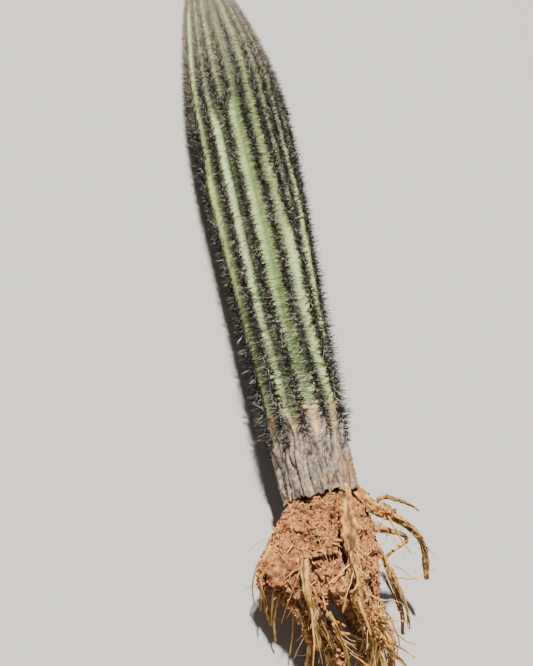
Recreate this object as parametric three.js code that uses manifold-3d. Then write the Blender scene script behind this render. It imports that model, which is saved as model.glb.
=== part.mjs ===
// A saguaro cactus that was dug up with its roots and laid on its side.
// Millimetres, +Z up. The stem runs along +Y from the soil line to the tip, and everything lies on z = 0.
import * as THREE from "three";
import { mergeVertices } from "three/addons/utils/BufferGeometryUtils.js";
import Module from "manifold-3d";

const wasm = await Module();
wasm.setup();

// The stem, measured from the soil line, with radii to the crests of the ribs.
const STEM_LENGTH = 2800;
const FOOT_RADIUS = 116;
const BELLY_RADIUS = 210.5;
const BELLY_START = 1640;
const BELLY_END = 1750;
const TAPER_STRAIGHT = 0.25; // the share of the lower taper that is straight, and the rest is a smooth swell
const CROWN_FULLNESS = 1.45; // 2 would be an even oval dome, and less draws the shoulders in
const CROWN_LAST_ANGLE = 86; // degrees along the dome's arc, where the last ring of the skin lies
const AXIS_HEIGHT = 222.5;
const TIP_LEAN = 48; // how far the tip bends to the left
const LEAN_START = 1600;
const CORK_HEIGHT = 300; // the barky foot below the green skin
const STEM_RINGS = 10;
const CROWN_RINGS = 11;
const FOOT_RINGS = 4;

// The ribs. Angles run round the stem, seen from the roots towards the tip, from the side that faces up and left.
// Each rib has its angle at the foot and at the waist, and at the tip one angle, or two where it forks at a height.
const FACING = -43.4;
const RIBS = [
  { foot: -66, waist: -70, tip: [-78, -58], fork: 1250 },
  { foot: -32, waist: -37, tip: [-34.5] },
  { foot: 0, waist: -10, tip: [-20, -4.5], fork: 1500 },
  { foot: 32, waist: 17, tip: [10.5] },
  { foot: 68, waist: 48, tip: [27.5, 42], fork: 880 },
  { foot: 100, waist: 84, tip: [58] },
  { foot: 128, waist: 113, tip: [76, 94], fork: 1600 },
  { foot: 156, waist: 143, tip: [113, 132], fork: 1100 },
  { foot: 184, waist: 172, tip: [151] },
  { foot: 213, waist: 201, tip: [170, 189], fork: 1400 },
  { foot: 240, waist: 230, tip: [210, 231], fork: 950 },
  { foot: 266, waist: 258, tip: [256] },
];
const WAIST_START = 150; // the ribs turn from their foot angle to their waist angle
const WAIST_RUN = 520;
const DRIFT_START = 700; // and then, more slowly, to their tip angle
const DRIFT_RUN = 900;
const FORK_RUN = 150; // two young ribs take this far to part
const TWIN_GAP = 3; // how far apart the crest lines of one unforked rib run
const SAMPLES = 4; // points from one crest to the next
const GROOVE_SHARE = 0.38; // groove depth as a share of the way from crest to crest
const CORK_GROOVE_SHARE = 0.1;
const GREENING = 220; // above the cork the grooves take this far to reach their full depth

// The spines: one slim core along each crest, with teeth that fan out to both sides.
const ROW_START = 150;
const ROW_CLEAR = 0.3;
const CORE_HALF_WIDTH = 4;
const CORE_HEIGHT = 6;
const CORE_LEAST_SHARE = 0.3; // the core's width at the tip end of its row
const SPINE_REACH = 32;
const CROWN_REACH = 24;
const SPINE_SPREAD = 20; // how far a tooth leans to the side of its crest
const SPREAD_SHARE = 0.42; // and never past this share of the way to the next crest
const ROW_PARTS = 22; // crests closer than this share one row
const ROW_END_RADIUS = 34;
const SHORT_ROW_END_RADIUS = 62; // every second row ends here, as there is no room for all at the tip
const ZIGZAG = 9;

// The tuft over the growing point.
const TUFT_RADIUS = 24;
const TUFT_POINTS = 9;
const TUFT_REACH = 20;
const TUFT_THICKNESS = 8;

// The soil held by the roots: a lump with its top cut flat under the stem. It bulges where soil clings to the roots
// on both sides and is hollow underneath, where it broke away.
const SOIL_CENTRE = new THREE.Vector3(0, -125, 215);
const SOIL_RADII = new THREE.Vector3(120, 150, 112);
const SOIL_BUMP = 0.045;
const SOIL_BULGES = [
  { toward: [-1, -0.22, -0.12], by: 0.92, wide: 0.4 },
  { toward: [1, -0.85, 0], by: 0.5, wide: 0.5 },
  { toward: [0.1, -1, 0.1], by: 0.14, wide: 0.4 },
  { toward: [-0.5, -0.7, -1], by: -0.36, wide: 0.7 },
  { toward: [-0.58, -0.48, 0.66], by: 0.42, wide: 0.65 },
];
const SOIL_AROUND = 26;
const SOIL_RINGS = 18;
const TOUCH = 0.3; // pieces that touch keep this much air between them
const BED_CLEAR = 0.9; // the soil's bed for a root is this much wider all round
const BED_START = 2; // the cut for a bed starts this far above the soil line

// The roots. Each has its thickness at both ends, how knotty it is, and the few places that it passes through.
// A root that bends round a wide gap is two pieces, split at a share of its length.
const ROOT_SIDES = 8;
const ROOT_STEP = 34;
const KNOT_PACE = 1.7;
const ROOTS = [
  { name: "root_main", thick: 23, thin: 13, knot: 0.16, at: [
    [5, 0, 290], [-30, -86, 342], [-55, -180, 348], [-35, -268, 322], [60, -366, 250], [110, -446, 150],
    [112, -530, 60]] },
  { name: "root_right", thick: 15, thin: 8, knot: 0.08, split: 0.66, at: [
    [62, 0, 290], [165, -62, 312], [278, -105, 290], [352, -140, 262], [402, -178, 226], [452, -250, 162]] },
  { name: "root_loop", thick: 12, thin: 4, knot: 0.08, split: 0.6, at: [
    [72, 0, 256], [92, -88, 288], [180, -110, 282], [262, -122, 266], [298, -140, 252], [240, -160, 250],
    [182, -184, 244]] },
  { name: "root_right_thin", thick: 9, thin: 5, knot: 0.06, at: [
    [88, 0, 222], [148, -150, 258], [216, -246, 222], [292, -328, 160], [338, -392, 100]] },
  { name: "root_left_upper", thick: 11, thin: 7, knot: 0.08, at: [
    [-45, 0, 258], [-92, -90, 266], [-138, -160, 262], [-160, -205, 270], [-145, -272, 252], [-84, -353, 182],
    [-64, -374, 158]] },
  { name: "root_middle", thick: 17, thin: 12, knot: 0.1, at: [
    [-10, 0, 240], [-70, -130, 268], [-112, -266, 250], [-75, -312, 220], [8, -395, 160], [60, -470, 90],
    [78, -524, 24]] },
  { name: "root_left", thick: 10, thin: 7, knot: 0.08, at: [
    [-80, 0, 215], [-150, -90, 150], [-176, -180, 125], [-152, -228, 148], [-112, -290, 168], [-62, -368, 120],
    [-20, -440, 24]] },
  { name: "root_right_lower", thick: 18, thin: 12, knot: 0.12, at: [
    [42, 0, 225], [72, -150, 240], [122, -307, 220], [190, -366, 168], [250, -418, 116], [322, -490, 26]] },
  { name: "root_left_outer", thick: 9, thin: 5, knot: 0.08, at: [
    [-98, 0, 235], [-175, -85, 215], [-221, -165, 170], [-209, -190, 150], [-186, -217, 120], [-155, -268, 80],
    [-118, -298, 40]] },
  { name: "root_fork", thick: 9.5, thin: 12, knot: 0.06, at: [
    [22, 0, 252], [40, -150, 262], [86, -312, 215], [152, -368, 160], [200, -410, 118], [240, -462, 72]] },
  { name: "root_low_middle", thick: 12, thin: 14, knot: 0.08, at: [
    [-40, 0, 192], [-75, -150, 200], [-77, -272, 170], [-22, -329, 130], [24, -379, 95], [70, -431, 55]] },
  { name: "root_low_right", thick: 8, thin: 9, knot: 0.06, at: [
    [22, 0, 198], [45, -150, 190], [76, -275, 170], [120, -319, 130], [173, -400, 75], [199, -450, 40]] },
  { name: "root_under_middle", thick: 17, thin: 10, knot: 0.1, at: [
    [0, 0, 168], [12, -190, 74], [30, -340, 26], [4, -470, 13]] },
  { name: "root_under_right", thick: 14, thin: 7, knot: 0.08, at: [
    [48, 0, 158], [112, -130, 56], [188, -250, 18], [224, -368, 9]] },
  { name: "root_back", thick: 12, thin: 7, knot: 0.07, at: [
    [85, 0, 184], [188, -62, 134], [268, -118, 62], [304, -214, 12]] },
];

const SKIN_GREEN = 0x7f9a52;
const CORK_GREY = 0x94816f;
const SPINE_GREY = 0x4a4440;
const TUFT_TAN = 0x9c8464;
const SOIL_BROWN = 0xa8703f;
const ROOT_STRAW = 0xc29a5b;

const { lerp, clamp, degToRad } = THREE.MathUtils;
const smooth = (t) => THREE.MathUtils.smoothstep(t, 0, 1);
const sum = (list) => list.reduce((total, value) => total + value, 0);

// The crests' distance from the axis: a straight taper mixed with a smooth swell, then the dome of the tip.
function girth(s) {
  const rise = clamp(s / BELLY_START, 0, 1);
  const swell = TAPER_STRAIGHT * rise + (1 - TAPER_STRAIGHT) * smooth(rise);
  const stem = lerp(FOOT_RADIUS, BELLY_RADIUS, swell);
  const dome = clamp((s - BELLY_END) / (STEM_LENGTH - BELLY_END), 0, 1);
  return stem * Math.sqrt(1 - dome ** CROWN_FULLNESS);
}

// The axis at a height: straight, then leaning to the left towards the tip.
function axisAt(s) {
  const lean = clamp((s - LEAN_START) / (STEM_LENGTH - LEAN_START), 0, 1);
  return new THREE.Vector3(-TIP_LEAN * lean * lean, s, AXIS_HEIGHT);
}

// The direction that points away from the axis at an angle round the stem.
function outward(angle) {
  const turn = degToRad(angle + FACING);
  return new THREE.Vector3(Math.sin(turn), 0, Math.cos(turn));
}

// The angle of one crest line. An unforked rib's two lines run side by side, and part above the fork.
function crestAngle(line, s) {
  const { rib, side } = line;
  const middle = sum(rib.tip) / rib.tip.length;
  const low = lerp(rib.foot, rib.waist, smooth((s - WAIST_START) / WAIST_RUN));
  const path = low + (middle - rib.waist) * smooth((s - DRIFT_START) / DRIFT_RUN);
  if (rib.tip.length === 1) return path;
  const together = THREE.MathUtils.radToDeg(TWIN_GAP / 2 / Math.max(girth(s), TWIN_GAP));
  const parted = ((rib.tip[1] - rib.tip[0]) / 2) * smooth((s - rib.fork) / FORK_RUN);
  return path + side * Math.max(together, parted);
}

const CREST_LINES = RIBS.flatMap((rib) =>
  rib.tip.length === 1 ? [{ rib, side: 0 }] : [{ rib, side: -1 }, { rib, side: 1 }],
);

// The angle of the crest line that many places on, past the end of the list and round again.
function lineAngle(place, s) {
  const count = CREST_LINES.length;
  const turns = Math.floor(place / count);
  return crestAngle(CREST_LINES[place - turns * count], s) + 360 * turns;
}

// A point of the skin: on a crest where the step is a whole number of samples, and down in the groove between.
function skinPoint(s, step) {
  const place = Math.floor(step / SAMPLES);
  const t = step / SAMPLES - place;
  const from = lineAngle(place, s);
  const to = lineAngle(place + 1, s);
  const arc = degToRad(to - from) * girth(s);
  const share = lerp(CORK_GROOVE_SHARE, GROOVE_SHARE, smooth((s - CORK_HEIGHT) / GREENING));
  const depth = (arc * share * (1 - Math.cos(2 * Math.PI * t))) / 2;
  return axisAt(s).addScaledVector(outward(lerp(from, to, t)), girth(s) - depth);
}

// A closed body from rings of points, with a point to close each end. The rings run anticlockwise as the last
// one is looked back at.
function loft(rings, first, last) {
  const around = rings[0].length;
  const points = [first, ...rings.flat(), last];
  const index = [];
  const at = (ring, k) => 1 + ring * around + (k % around);
  for (let k = 0; k < around; k++) {
    index.push(0, at(0, k + 1), at(0, k));
    index.push(points.length - 1, at(rings.length - 1, k), at(rings.length - 1, k + 1));
  }
  for (let ring = 0; ring + 1 < rings.length; ring++)
    for (let k = 0; k < around; k++) {
      index.push(at(ring, k), at(ring + 1, k + 1), at(ring + 1, k));
      index.push(at(ring, k), at(ring, k + 1), at(ring + 1, k + 1));
    }
  return bodyFrom(points, index);
}

function bodyFrom(points, index) {
  const geometry = new THREE.BufferGeometry().setFromPoints(points);
  geometry.setIndex(index);
  geometry.computeVertexNormals();
  return geometry;
}

const evenSteps = (from, to, count) =>
  Array.from({ length: count + 1 }, (_, i) => lerp(from, to, i / count));

const FOOT_HEIGHTS = evenSteps(0, CORK_HEIGHT, FOOT_RINGS);
const SKIN_HEIGHTS = [
  ...evenSteps(CORK_HEIGHT, BELLY_END, STEM_RINGS),
  ...evenSteps(0, CROWN_LAST_ANGLE, CROWN_RINGS)
    .slice(1)
    .map((angle) => BELLY_END + (STEM_LENGTH - BELLY_END) * Math.sin(degToRad(angle))),
];

function skinRing(s) {
  return Array.from({ length: CREST_LINES.length * SAMPLES }, (_, step) => skinPoint(s, step));
}

// The green, ribbed stem, from the top of the cork to the tip.
function makeColumn() {
  const rings = SKIN_HEIGHTS.map(skinRing);
  return loft(rings, axisAt(CORK_HEIGHT), axisAt(STEM_LENGTH));
}

// The barky foot, with its flutes nearly filled.
function makeCorkFoot() {
  const heights = FOOT_HEIGHTS.map((s) => Math.min(s, CORK_HEIGHT - TOUCH));
  return loft(heights.map(skinRing), axisAt(0), axisAt(CORK_HEIGHT - TOUCH));
}

// The point of a crest's edge at a height between two rings of the skin, and the way out from the skin there.
const ALL_HEIGHTS = [...FOOT_HEIGHTS.slice(0, -1), ...SKIN_HEIGHTS];
function crestEdge(place, s) {
  const above = ALL_HEIGHTS.findIndex((height) => height >= s - 1e-6);
  const upper = ALL_HEIGHTS[Math.max(above, 1)];
  const lower = ALL_HEIGHTS[Math.max(above, 1) - 1];
  const top = skinPoint(upper, place * SAMPLES);
  const bottom = skinPoint(lower, place * SAMPLES);
  const point = bottom.clone().lerp(top, (s - lower) / (upper - lower));
  const out = outward(lineAngle(place, s));
  const along = top.sub(bottom).normalize();
  out.addScaledVector(along, -out.dot(along)).normalize();
  return { point, out, across: along.clone().cross(out).normalize() };
}

// A rib has one row of spines, and a forked rib has its second one from where the crests are far enough apart.
function hasRow(place, s) {
  const count = CREST_LINES.length;
  const line = CREST_LINES[((place % count) + count) % count];
  if (line.side < 1) return true;
  const arc = degToRad(lineAngle(place, s) - lineAngle(place - 1, s)) * girth(s);
  return arc > ROW_PARTS;
}

// The room to the next row on one side, along the arc from crest to crest.
function roomBeside(place, s, way) {
  const next = hasRow(place + way, s) ? place + way : place + 2 * way;
  return degToRad(Math.abs(lineAngle(next, s) - lineAngle(place, s))) * girth(s);
}

// The tip of a tooth: out from the crest and to one side, and never under the ground.
function toothTip(place, s, way, zig) {
  const { point, out, across } = crestEdge(place, s);
  const dome = clamp((s - BELLY_END) / (STEM_LENGTH - BELLY_END), 0, 1);
  const lean = clamp(roomBeside(place, s, way) * SPREAD_SHARE - CORE_HALF_WIDTH, 2, SPINE_SPREAD);
  const tip = point.addScaledVector(out, lerp(SPINE_REACH, CROWN_REACH, dome));
  tip.addScaledVector(across, way * (CORE_HALF_WIDTH + lean));
  tip.y += zig;
  tip.z = Math.max(tip.z, 0);
  return tip;
}

// One row: a three-sided core along the crest, whose two upper sides carry a tooth on each stretch.
function makeSpineRow(place, heights) {
  const points = [];
  const index = [];
  heights.forEach((s, i) => {
    const { point, out, across } = crestEdge(place, s);
    const slim = lerp(1, CORE_LEAST_SHARE, smooth((s - BELLY_END) / (STEM_LENGTH - BELLY_END)));
    const base = point.clone().addScaledVector(out, ROW_CLEAR);
    points.push(base.clone().addScaledVector(across, -CORE_HALF_WIDTH * slim));
    points.push(base.clone().addScaledVector(across, CORE_HALF_WIDTH * slim));
    points.push(base.addScaledVector(out, CORE_HEIGHT * slim));
    if (i) addRowStretch(points, index, i, place, (heights[i - 1] + s) / 2);
  });
  const end = points.length - 3 - (heights.length > 1 ? 2 : 0);
  index.push(0, 1, 2);
  index.push(end + 1, end, end + 2);
  return bodyFrom(points, index);
}

// The points of a stretch's two ends lie five apart in the list, as each stretch adds its two tooth tips.
function addRowStretch(points, index, i, place, middle) {
  const b = points.length - 3;
  const a = i === 1 ? 0 : b - 5;
  const zig = (i % 2 ? 1 : -1) * ZIGZAG;
  const left = points.push(toothTip(place, middle, -1, zig)) - 1;
  const right = points.push(toothTip(place, middle, 1, -zig)) - 1;
  index.push(a, b, b + 1, a, b + 1, a + 1);
  index.push(a, a + 2, left, a + 2, b + 2, left, b + 2, b, left, b, a, left);
  index.push(a + 2, a + 1, right, a + 1, b + 1, right, b + 1, b + 2, right, b + 2, a + 2, right);
}

// The heights of a row's stations: each ring of the skin and halfway between, within the row's reach.
function rowHeights(place) {
  const last = place % 2 ? SHORT_ROW_END_RADIUS : ROW_END_RADIUS;
  const fine = ALL_HEIGHTS.flatMap((s, i) => (i ? [(ALL_HEIGHTS[i - 1] + s) / 2, s] : [s]));
  return fine.filter((s) => {
    const reached = s >= ROW_START && !(s > BELLY_END && girth(s) < last);
    return reached && hasRow(place, s);
  });
}

// The tuft of short spines over the growing point: a low star that stands clear of the tip.
function makeTuft() {
  const middle = axisAt(STEM_LENGTH);
  middle.y += ROW_CLEAR;
  const points = [middle, middle.clone().add(new THREE.Vector3(0, TUFT_REACH, 0))];
  const index = [];
  const corners = TUFT_POINTS * 2;
  for (let k = 0; k < corners; k++) {
    const away = outward((360 * k) / corners);
    points.push(middle.clone().addScaledVector(away, k % 2 ? TUFT_RADIUS / 2 : TUFT_RADIUS));
    points[points.length - 1].y += TUFT_THICKNESS / (k % 2 ? 2 : 1);
  }
  for (let k = 0; k < corners; k++) {
    const here = 2 + k;
    const next = 2 + ((k + 1) % corners);
    index.push(0, next, here, 1, here, next);
  }
  return bodyFrom(points, index);
}

// A tapering root: rings round a smooth curve through its places, swelling and pinching by a slow wave.
// It starts flat against the underside of the foot. Grown by some extra, it is the tool that cuts its bed.
function rootRings({ thick, thin, knot, at }, extra = 0, startHeight = -TOUCH) {
  const places = at.map(([x, y, z]) => new THREE.Vector3(x, y, z));
  const curve = new THREE.CatmullRomCurve3(places, false, "centripetal");
  const steps = Math.round(curve.getLength() / ROOT_STEP);
  const { tangents, normals, binormals } = curve.computeFrenetFrames(steps, false);
  return tangents.map((tangent, i) => {
    const t = i / steps;
    const wave = 1 + knot * Math.sin(t * steps * KNOT_PACE + at[0][0]);
    const radius = lerp(thick, thin, t) * wave + extra;
    return Array.from({ length: ROOT_SIDES }, (_, k) => {
      const turn = (2 * Math.PI * k) / ROOT_SIDES;
      const point = curve.getPointAt(t).addScaledVector(normals[i], radius * Math.cos(turn));
      point.addScaledVector(binormals[i], radius * Math.sin(turn));
      if (i === 0) point.addScaledVector(tangent, (startHeight - point.y) / tangent.y);
      point.z = Math.max(point.z, 0);
      return point;
    });
  });
}

function centreOf(ring) {
  return ring.reduce((total, point) => total.add(point), new THREE.Vector3()).divideScalar(ring.length);
}

function makeRoot(rings) {
  return loft(rings, centreOf(rings[0]), centreOf(rings[rings.length - 1]));
}

// The pieces of one root: all of it, or its two parts with a hair of air between them.
function rootPieces(root) {
  const rings = rootRings(root);
  if (!root.split) return [[root.name, makeRoot(rings)]];
  const cut = Math.round((rings.length - 1) * root.split);
  const onward = centreOf(rings[cut + 1]).sub(centreOf(rings[cut])).setLength(TOUCH);
  const start = rings[cut].map((point) => point.clone().add(onward));
  return [
    [root.name, makeRoot(rings.slice(0, cut + 1))],
    [root.name + "_end", makeRoot([start, ...rings.slice(cut + 1)])],
  ];
}

const solidOf = (geometry) => {
  const merged = mergeVertices(new THREE.BufferGeometry().copy(geometry).deleteAttribute("normal"), 1e-3);
  const vertProperties = merged.attributes.position.array;
  const triVerts = new Uint32Array(merged.index.array);
  return new wasm.Manifold(new wasm.Mesh({ numProp: 3, vertProperties, triVerts }));
};

function geometryOf(solid) {
  const { vertProperties, triVerts } = solid.getMesh();
  const geometry = new THREE.BufferGeometry();
  geometry.setAttribute("position", new THREE.BufferAttribute(vertProperties, 3));
  geometry.setIndex(new THREE.BufferAttribute(triVerts, 1));
  geometry.computeVertexNormals();
  return geometry;
}

// The lump of soil: a ball pushed in and out by slow waves and a few bulges, cut flat above, with the roots cut out.
function makeSoil() {
  const ringPoints = (polar) =>
    Array.from({ length: SOIL_AROUND }, (_, k) => {
      const turn = (2 * Math.PI * k) / SOIL_AROUND;
      const way = new THREE.Vector3(
        Math.sin(polar) * Math.sin(turn),
        -Math.cos(polar),
        Math.sin(polar) * Math.cos(turn),
      );
      return soilPoint(way);
    });
  const rings = evenSteps(0, Math.PI, SOIL_RINGS).slice(1, -1).map(ringPoints);
  const lump = loft(rings, soilPoint(new THREE.Vector3(0, -1, 0)), soilPoint(new THREE.Vector3(0, 1, 0)));
  let soil = solidOf(lump);
  for (const root of ROOTS) soil = soil.subtract(solidOf(makeRoot(rootRings(root, BED_CLEAR, BED_START))));
  const pieces = soil.decompose().sort((a, b) => b.volume() - a.volume());
  return geometryOf(pieces[0]);
}

function soilPoint(way) {
  const waves = Math.sin(way.x * 6 + 1) * Math.sin(way.y * 5) + Math.sin(way.z * 7 + way.x * 4);
  const bulges = SOIL_BULGES.reduce((sum, { toward, by, wide }) => {
    const away = new THREE.Vector3(...toward).normalize().distanceTo(way);
    return sum + by * Math.exp(-((away / wide) ** 2));
  }, 0);
  const point = way.clone().multiply(SOIL_RADII).multiplyScalar(1 + SOIL_BUMP * waves + bulges).add(SOIL_CENTRE);
  point.y = Math.min(point.y, -TOUCH);
  point.z = Math.max(point.z, 0);
  return point;
}

const plant = new THREE.Group();

function addPiece(name, geometry, color, roughness) {
  const material = new THREE.MeshStandardMaterial({ color, roughness, metalness: 0, flatShading: true });
  const mesh = new THREE.Mesh(geometry, material);
  mesh.name = name;
  plant.add(mesh);
}

addPiece("column", makeColumn(), SKIN_GREEN, 0.6);
addPiece("cork_foot", makeCorkFoot(), CORK_GREY, 0.95);
CREST_LINES.forEach((_, place) => {
  const name = "spines_rib_" + String(place + 1).padStart(2, "0");
  addPiece(name, makeSpineRow(place, rowHeights(place)), SPINE_GREY, 0.7);
});
addPiece("spines_tip", makeTuft(), TUFT_TAN, 0.8);
addPiece("soil_ball", makeSoil(), SOIL_BROWN, 1);
for (const root of ROOTS)
  for (const [name, geometry] of rootPieces(root)) addPiece(name, geometry, ROOT_STRAW, 0.85);

// The origin is under the middle of the plant's box, on the ground.
const box = new THREE.Box3().setFromObject(plant);
const middle = box.getCenter(new THREE.Vector3());
plant.position.set(-middle.x, -middle.y, -box.min.z);

export default plant;
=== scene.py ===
# %% [markdown]
# # A saguaro, dug up with its roots
# This file dresses a plain construction model of a cactus in Blender: a green ribbed skin, a cork foot, soil,
# roots and some hundred and forty thousand needles. The construction model is loaded first. It says where
# everything is, so no piece here needs fitting. Numbers are in metres where no comment says otherwise.

import math

import bpy
import numpy as np
from mathutils import Matrix, Vector


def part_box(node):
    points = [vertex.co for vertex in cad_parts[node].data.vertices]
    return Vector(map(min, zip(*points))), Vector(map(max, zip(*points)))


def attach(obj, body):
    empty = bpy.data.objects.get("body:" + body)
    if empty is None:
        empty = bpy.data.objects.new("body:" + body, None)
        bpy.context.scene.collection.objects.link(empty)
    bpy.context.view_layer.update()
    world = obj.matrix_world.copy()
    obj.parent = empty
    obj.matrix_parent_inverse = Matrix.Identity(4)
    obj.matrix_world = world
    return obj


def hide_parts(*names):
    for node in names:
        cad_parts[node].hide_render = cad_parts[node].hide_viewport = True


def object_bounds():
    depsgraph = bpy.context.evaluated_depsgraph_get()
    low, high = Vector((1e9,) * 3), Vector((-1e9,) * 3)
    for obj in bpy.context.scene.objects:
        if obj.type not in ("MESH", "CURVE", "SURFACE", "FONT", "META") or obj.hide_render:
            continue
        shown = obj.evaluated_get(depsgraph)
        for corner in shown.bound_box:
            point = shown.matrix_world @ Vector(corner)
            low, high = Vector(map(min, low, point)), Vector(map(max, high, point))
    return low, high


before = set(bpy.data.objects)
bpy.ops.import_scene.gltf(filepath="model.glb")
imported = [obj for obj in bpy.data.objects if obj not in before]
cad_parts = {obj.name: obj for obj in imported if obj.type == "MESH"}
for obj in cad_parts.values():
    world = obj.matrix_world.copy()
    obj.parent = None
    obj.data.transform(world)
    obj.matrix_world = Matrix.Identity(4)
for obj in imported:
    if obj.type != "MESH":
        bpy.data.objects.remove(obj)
cad_low, cad_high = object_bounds()
print("construction nodes:", len(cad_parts), "box:", list(cad_low), list(cad_high))

# %% [markdown]
# ## Where the stem lies
# The foot of the stem ends in a flat disc, and the middle point of that disc is on the stem's axis. Reading
# it from the model gives the line that all the shapes below are built on, so nothing is typed in twice.

# %% Find the axis
def disc_middle(node):
    """The point of the node's lower end disc that lies nearest the mean of that disc's points."""
    points = np.array([v.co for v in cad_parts[node].data.vertices])
    end = points[points[:, 1] < points[:, 1].min() + 1e-4]
    mean = (end.min(0) + end.max(0)) / 2
    return end[np.argmin(np.linalg.norm(end - mean, axis=1))]


AXIS_X, SOIL_LINE, AXIS_Z = disc_middle("cork_foot")
STEM_BASE = np.array([AXIS_X, SOIL_LINE, 0])  # roots and soil are placed from here, straight below the axis
STEM_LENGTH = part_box("column")[1].y - SOIL_LINE
CORK_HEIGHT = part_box("column")[0].y - SOIL_LINE
print("axis at x", round(AXIS_X, 4), "z", round(AXIS_Z, 4), "soil line", round(SOIL_LINE, 4),
      "stem", round(STEM_LENGTH, 4))

# %% [markdown]
# ## The camera
# The photograph was taken by someone standing over the roots with the camera turned in the hand. Such a
# camera could be aimed with a Track To constraint, but that can't roll it. Three angles say it all instead:
# the bearing it is seen from, how far it looks down, and how far it is turned about its own line of sight.

# %% Camera
CAMERA_FROM_AXIS = Vector((-1.135, -0.3087, 1.2))
CAMERA_BEARING = math.radians(50.32)
CAMERA_PITCH = math.radians(41.26)
CAMERA_ROLL = math.radians(49.94)
FOCAL_SHARE = 533 / 666  # focal length as a share of the photograph's long side
SENSOR_MM = 36
VIEW_END = 200


def add_object(name, data, location=(0, 0, 0), turn=None):
    """Puts a mesh, a camera or a lamp into the scene at a place, and turns it by a quaternion if given."""
    thing = bpy.data.objects.new(name, data)
    thing.location = location
    if turn is not None:
        thing.rotation_mode = "QUATERNION"
        thing.rotation_quaternion = turn
    bpy.context.scene.collection.objects.link(thing)
    return thing


def camera_axes():
    """The camera's right, up and back directions, from its bearing, pitch and roll."""
    level = math.cos(CAMERA_PITCH)
    back = Vector((-math.sin(CAMERA_BEARING) * level, -math.cos(CAMERA_BEARING) * level,
                   math.sin(CAMERA_PITCH)))
    right = Vector((0, 0, 1)).cross(back).normalized()
    turn = Matrix.Rotation(CAMERA_ROLL, 3, back)
    return turn @ right, turn @ back.cross(right), back


camera_data = bpy.data.cameras.new("camera")
camera_data.sensor_width = SENSOR_MM
camera_data.lens = SENSOR_MM * FOCAL_SHARE
camera_data.clip_end = VIEW_END
camera = add_object("camera", camera_data, Vector((AXIS_X, SOIL_LINE, AXIS_Z)) + CAMERA_FROM_AXIS,
                    Matrix(camera_axes()).transposed().to_quaternion())
bpy.context.scene.camera = camera
print("camera at", [round(c, 3) for c in camera.location])

# %% [markdown]
# ## From arrays to meshes
# Thousands of needles would take minutes if Blender added them one at a time. So every shape here is worked
# out as whole numpy arrays of points, and foreach_set hands the finished arrays to Blender in one go.

# %% Mesh helpers
GROUND = 0.0004  # how far above the floor the lowest points of small pieces stay


def make_object(name, points, faces, materials, face_material=None, smooth=True):
    """A mesh object from an array of points and an array of faces with three or four corners each."""
    mesh = bpy.data.meshes.new(name)
    mesh.vertices.add(len(points))
    mesh.loops.add(faces.size)
    mesh.polygons.add(len(faces))
    mesh.vertices.foreach_set("co", np.ascontiguousarray(points, np.float32).ravel())
    mesh.loops.foreach_set("vertex_index", np.ascontiguousarray(faces, np.int32).ravel())
    mesh.polygons.foreach_set("loop_start", np.arange(0, faces.size, faces.shape[1], dtype=np.int32))
    mesh.polygons.foreach_set("use_smooth", np.full(len(faces), smooth))
    for material in materials:
        mesh.materials.append(material)
    if face_material is not None:
        mesh.polygons.foreach_set("material_index", np.ascontiguousarray(face_material, np.int32))
    mesh.update(calc_edges=True)
    mesh.validate()
    return add_object(name, mesh)


def closed_tube(grid):
    """Points and three-cornered faces of a grid of rings, closed at each end with a point in the middle of
    the end ring. The rings run anticlockwise as the last one is looked back at."""
    rings, around, _ = grid.shape
    points = np.concatenate([grid.reshape(-1, 3), grid[:1].mean(1), grid[-1:].mean(1)])
    step = np.arange(around)
    after = (step + 1) % around
    start = np.arange(rings - 1)[:, None] * around
    here, beside = (start + step).ravel(), (start + after).ravel()
    last = (rings - 1) * around
    low = np.stack([after, step, np.full(around, rings * around)], -1)
    high = np.stack([last + step, last + after, np.full(around, rings * around + 1)], -1)
    first = np.stack([here, beside, beside + around], -1)
    second = np.stack([here, beside + around, here + around], -1)
    return points, np.concatenate([first, second, low, high])


def joined(parts):
    """Many (points, faces) pairs as one, with each part's faces counted on from the points before it."""
    starts = np.cumsum([0] + [len(points) for points, _ in parts[:-1]])
    points = np.concatenate([points for points, _ in parts])
    return points, np.concatenate([faces + start for (_, faces), start in zip(parts, starts)])


def copies(count, size, faces):
    """The faces of many small shapes that have the same faces and size points each."""
    return ((np.arange(count) * size)[:, None, None] + faces).reshape(-1, 3)


def add_attribute(piece, name, values):
    """Stores one value for each point of the mesh, and 0 for its end points, where a material can read it."""
    layer = piece.data.attributes.new(name, "FLOAT", "POINT")
    padded = np.zeros(len(piece.data.vertices), np.float32)
    padded[: values.size] = values.ravel()
    layer.data.foreach_set("value", padded)


def finish_piece(piece, slot, *nodes):
    """The piece rides on the plant's one body and stands for the named nodes, which it hides. The slot is not
    used.
    """
    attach(piece, "root")
    if nodes:
        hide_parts(*nodes)
    print(piece.name, len(piece.data.polygons), "faces")


# %% [markdown]
# ## Soft noise
# Living things are never quite even. Value noise gives each corner of a lattice of cubes a random number and
# blends smoothly between the corners, so near points get near values. Blender's own noise textures do the
# same in a material, but here the noise also has to move points, and the same points on every run.

# %% Noise
HASH_PRIMES = (73856093, 19349663, 83492791)


def lattice_number(cell, seed):
    """A repeatable number from 0 to 1 for each whole-numbered cell, by multiplying and mixing its digits."""
    mixed = seed * 40503 + 977
    for axis, prime in enumerate(HASH_PRIMES):
        mixed = mixed ^ cell[..., axis] * prime
    mixed = (mixed ^ (mixed >> 13)) * 1274126177
    return ((mixed ^ (mixed >> 16)) & 0xFFFF) / 0xFFFF


def smooth(t):
    """0 below 0, 1 above 1, and the curve 3t^2 - 2t^3 between."""
    t = np.clip(t, 0, 1)
    return t * t * (3 - 2 * t)


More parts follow.
